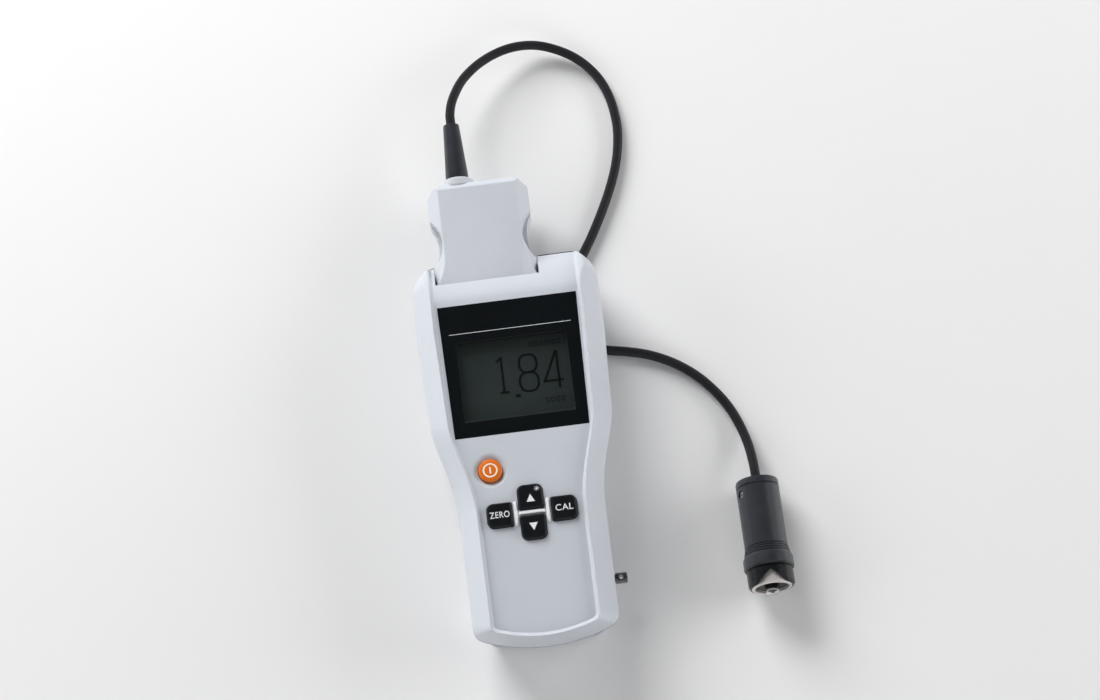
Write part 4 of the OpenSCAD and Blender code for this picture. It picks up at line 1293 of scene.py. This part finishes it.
@dataclass
class Display:
    """Black display panel with its rule, the clear window and the reading behind it."""

    panel_top: float = 28.05
    glass_top: float = 24.35
    rule_y: float = 45.72
    rule_half: float = 23.6
    rule_thick: float = 0.18
    stroke: float = 0.92
    reading_gap: float = 0.01
    reading_thick: float = 0.02
    window_mid: tuple[float, float] = (0.0, 25.9)
    window_half: tuple[float, float] = (21.4, 16.5)

    def digits(self) -> list[tuple[Array, bool]]:
        """Middle lines of the reading's strokes, each with whether it closes on itself.

        The ovals are ellipses of the 0.8th powers of the cosine and the sine.

        Returns:
            Paths in plan.
        """
        squarish = signed_power(circle(48), 0.8)
        ovals = [((5.15, 31.6), (3.35, 3.6)), ((5.0, 24.15), (3.6, 3.85))]
        lines = [
            [(-6.9, 33.4), (-4.75, 35.3)], [(-4.95, 35.5), (-4.95, 20.6)], [(-6.6, 20.9), (-3.1, 20.9)],
            [(16.5, 20.2), (16.5, 35.5)], [(16.35, 35.5), (10.75, 23.0)], [(10.4, 23.4), (18.2, 23.4)],
        ]
        loops = [(np.array(mid) + np.array(half) * squarish, True) for mid, half in ovals]
        return loops + [(np.array(line), False) for line in lines]

    def marks(self) -> list[tuple[Array, Array]]:
        """Small marks of the display: the point, and rows of open blocks at its upper and lower right.

        Returns:
            Points and faces of each mark.
        """
        point = np.array([0.05, 19.0]) + rounded_box_ring((1.0, 0.6), (0.3,) * 4, 4)
        spots = [(x, 39.2) for x in np.arange(7.2, 18.6, 2.1)] + [(x, 15.8) for x in np.arange(11.2, 18.4, 2.0)]
        block = rounded_box_ring((0.56, 0.86), (0.25,) * 4, 3)
        made = [(point, np.arange(len(point))[None])]
        return made + [ribbon(block + np.array(spot), 0.3, True) for spot in spots]

    def lip(self) -> None:
        """Lofts the lip round the window: a box outline that shrinks as it falls to the lens, most at its foot."""
        stations = [
            (0.04, 0.04, 27.16), (0.02, 0.02, 27.86), (0.06, 0.14, 27.92), (0.2, 1.0, 27.5), (0.22, 1.06, 27.42),
            (0.22, 1.06, 27.16), (0.04, 0.04, 27.16),
        ]
        wide, high = self.window_half
        rings = []
        for side, foot, z in stations:
            ring = rounded_box_ring((wide - side, high - (side + foot) / 2), (0.3,) * 4, 4)
            rings.append(np.column_stack([ring + np.array([0, (foot - side) / 2]), np.full(16, z)]))
        loft = np.array(rings) + np.array([*self.window_mid, 0])
        new_piece("window_lip", loft, grid_quads(len(rings), 16, True), Body.HOUSING, LIP, 50)

    def build(self) -> None:
        """Dresses the panel, the window and the glass, and draws the rule and the reading."""
        softened("display_panel", "panel_plate", Body.HOUSING, PANEL, 0.12)
        self.lip()
        corners = np.array([(-1, -1), (1, -1), (1, 1), (-1, 1)])
        rule = np.array([0, self.rule_y]) + corners * (self.rule_half, self.rule_thick / 2)
        flat_print("panel_rule", rule, [[0, 1, 2, 3]], self.panel_top, Body.HOUSING, INK)
        strokes = [ribbon(path, self.stroke, closed) for path, closed in self.digits()]
        reading = joined(strokes + self.marks())
        flat_print("reading", *reading, self.glass_top + self.reading_gap, Body.HOUSING, INK_LCD, self.reading_thick)
        dress({"display_lens": LENS, "lcd_glass": SCREEN, "lcd_frame": FRAME_GREY})
        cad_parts["display_lens"].visible_shadow = False  # clear, so the lamps light the glass under it


@dataclass
class PlugModule:
    """Plug-in probe module: two white half shells and the board between them."""

    edge: float = 0.55
    cord_at: tuple[float, float] = (-13.6, 16.7)
    end: float = 111.0
    middle: float = -6.4
    half: float = 19.9
    top: float = 24.0
    bevel: float = 4.9
    scallop: tuple[float, float, float] = (86.6, 10.2, 4.2)
    flare_y: tuple[float, float] = (68.0, 82.0)
    collar: tuple[tuple[float, float], ...] = (
        (4.7, -2.7), (5.4, -2.7), (6.46, -0.7), (6.46, 0.4), (4.7, 0.4), (4.7, -2.7),
    )

    def flare(self, side: int) -> None:
        """Run-out of one side bevel, which lets the face flare to the full width where the module goes in.

        In plan the face's edge keeps the bevel's inset, and from 82 down to 68 mm it goes out with the 2.2nd power
        of the way. Each cross-section runs over the face and the bevel to the scalloped side, and back inside.

        Args:
            side: -1 for the left side, 1 for the right.
        """
        y = np.linspace(62.3, 84.0, 64)
        stop, start = self.flare_y
        inset = self.bevel * np.maximum(1 - (np.maximum(start - y, 0) / (start - stop)) ** 2.2, 0.02)
        mid, reach, depth = self.scallop
        radius = (reach**2 + depth**2) / (2 * depth)
        arc = np.sqrt(np.maximum(radius**2 - (y - mid) ** 2, 0))
        fade = smoothstep(80.5, 84.0, y)
        out = self.half - np.maximum(depth - radius + arc, 0)
        edge = self.half - inset
        lower = edge + inset * 0.6 / self.bevel
        drop = self.top - 0.2 - 3.8 * (out - lower) / (self.half - lower)
        wall = out + 0.02 - 0.12 * fade
        flat = self.top + 0.003 - 0.06 * fade
        low = 17.6 + 0 * y
        rows = [
            (14.2 + 0 * y, flat), (edge, flat), (lower, flat - 0.203), (wall, drop - 0.06 * fade), (wall, low),
            (13.9 + 0 * y, low),
        ]
        poly = np.stack([np.stack([self.middle + side * x, y, z], -1) for x, z in rows], 1)
        strip = round_columns(poly, [0.25, 0.25, 0.5, 0.3], 5, [1, 1, 4, 1, 1])
        name = "module_flare_" + ("left" if side < 0 else "right")
        new_piece(name, strip, tube_faces(*strip.shape[:2]), Body.PROBE, MODULE, 30)

    def neck(self) -> None:
        """Turns the cone that runs the collar of the cord into the sloping end of the shells."""
        x, z = self.cord_at
        cone = revolve_along_y(np.array(self.collar), (x, self.end, z))
        new_piece("collar_neck", cone, grid_quads(*cone.shape[:2], True), Body.PROBE, MODULE)

    def build(self) -> None:
        """Rounds the edges of the shells, joins the collar to them and dresses the board."""
        softened("plug_front_shell", "module_front", Body.PROBE, MODULE, self.edge, 28, 4)
        softened("plug_rear_shell", "module_rear", Body.PROBE, MODULE, self.edge, 28, 4)
        self.flare(-1)
        self.flare(1)
        self.neck()
        dress({"plug_board": BOARD})


@dataclass
class RearCase:
    """Rear half of the housing with its door, seal, strap post, screws and inner parts."""

    edge: float = 0.35
    tuck: tuple[float, float] = (-62.0, -75.0)

    def tucked(self, points: Array) -> Array:
        """Draws the lower end in under the front cover, by up to 2 mm and fading out towards the grip.

        Args:
            points: Points in millimetres.

        Returns:
            The moved points.
        """
        depth = np.interp(points[:, 2], [0, 5, 7, 9.6, 12, 14.6], [1.7, 1.7, 2.0, 1.7, 0.8, 0])
        moved = points.copy()
        moved[:, 1] += depth * smoothstep(*self.tuck, points[:, 1])
        return moved

    def build(self) -> None:
        """Rounds the outer pieces and dresses the inner ones."""
        softened("rear_cover", "rear_skin", Body.HOUSING, SHELL, self.edge, 34, reshape=self.tucked)
        softened("battery_door", "door_plate", Body.LID, SHELL, 0.3, 34, reshape=self.tucked)
        softened("strap_post", "strap_pin", Body.HOUSING, POST, 0.18, 34)
        dress({
            "case_seal": SEAL, "main_board": BOARD, "key_switches": SOCKET, "battery_cells": CELL,
            "battery_springs": STEEL, "battery_contacts": STEEL, "probe_socket": SOCKET, "case_screws": STEEL,
        })


@dataclass
class Probe:
    """Black turned probe with its V-notched nose and sprung pole."""

    edge: float = 0.12
    rear: tuple[float, float, float] = (86.6, -22.0, 8.264)
    tilt: float = 2.184
    screw_up: float = 32.0
    spring_run: tuple[float, float] = (9.5, 27.1)
    spring_r: float = 2.9
    wire_r: float = 0.45
    wire_sides: int = 12
    turns: int = 7
    travel: float = 1.5

    @property
    def axis(self) -> tuple[float, float, float]:
        """Direction from the rear face to the nose."""
        return 0.0, -math.cos(math.radians(self.tilt)), math.sin(math.radians(self.tilt))

    def spring(self) -> None:
        """Winds the pole's spring about the probe's axis.

        A point of the wire at the share t is the axis's point there plus r (cos a u + sin a w), with a = t times the
        turns, u level and w square to both.
        """
        axis = np.array(self.axis)
        u, w = np.array([1.0, 0, 0]), np.array([0, axis[2], -axis[1]])
        t = np.linspace(0, 1, 36 * self.turns + 1)[:, None]
        low, high = self.spring_run
        a = 2 * np.pi * self.turns * t
        path = np.array(self.rear) + (low + (high - low) * t) * axis + self.spring_r * (np.cos(a) * u + np.sin(a) * w)
        tube = tube_grid(path, self.wire_r, self.wire_sides)
        coil = new_piece("pole_coil", tube, tube_faces(len(path), self.wire_sides), Body.PROBE, STEEL)
        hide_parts("tip_spring")
        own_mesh(coil)

    def turn(self) -> Matrix:
        """Turn about the probe's axis that brings the cap screw up to where it shows."""
        place = Matrix.Translation(Vector(self.rear) * MM)
        return place @ Matrix.Rotation(-math.radians(self.screw_up), 4, Vector(self.axis)) @ place.inverted()

    def build(self) -> None:
        """Rounds the edges of the turned sleeves and dresses what they hold."""
        turn = self.turn()
        softened("probe_cap", "cap_turned", Body.PROBE, ANODISED, self.edge, turn=turn)
        softened("probe_barrel", "barrel_turned", Body.PROBE, ANODISED, self.edge, turn=turn)
        softened("probe_screw", "cap_screw", Body.PROBE, STEEL, 0.08, turn=turn)
        softened("probe_collar", "collar_turned", Body.PROBE, ANODISED, 0.07)
        softened("probe_nose", "nose_sleeve", Body.PROBE, NOSE, self.edge)
        softened("probe_tube", "tube_sleeve", Body.PROBE, SILVER, 0.08)
        dress({"probe_insert": POLE_BLACK, "sensing_coil": COPPER, "pole_stem": POLE_BLACK, "pole_tip": CHROME})
        self.spring()


def main() -> None:
    """Builds the studio and every sub-assembly in order."""
    logging.basicConfig(level=logging.INFO, format="%(name)s %(message)s")
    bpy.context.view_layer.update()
    studio = Studio()
    studio.camera()
    studio.floor()
    studio.lights()
    for part in (Probe(), ProbeLead(), FrontCover(), Keypad(), Display(), PlugModule(), RearCase()):
        LOG.info("building %s", type(part).__name__)
        part.build()


if __name__ == "__main__":
    main()
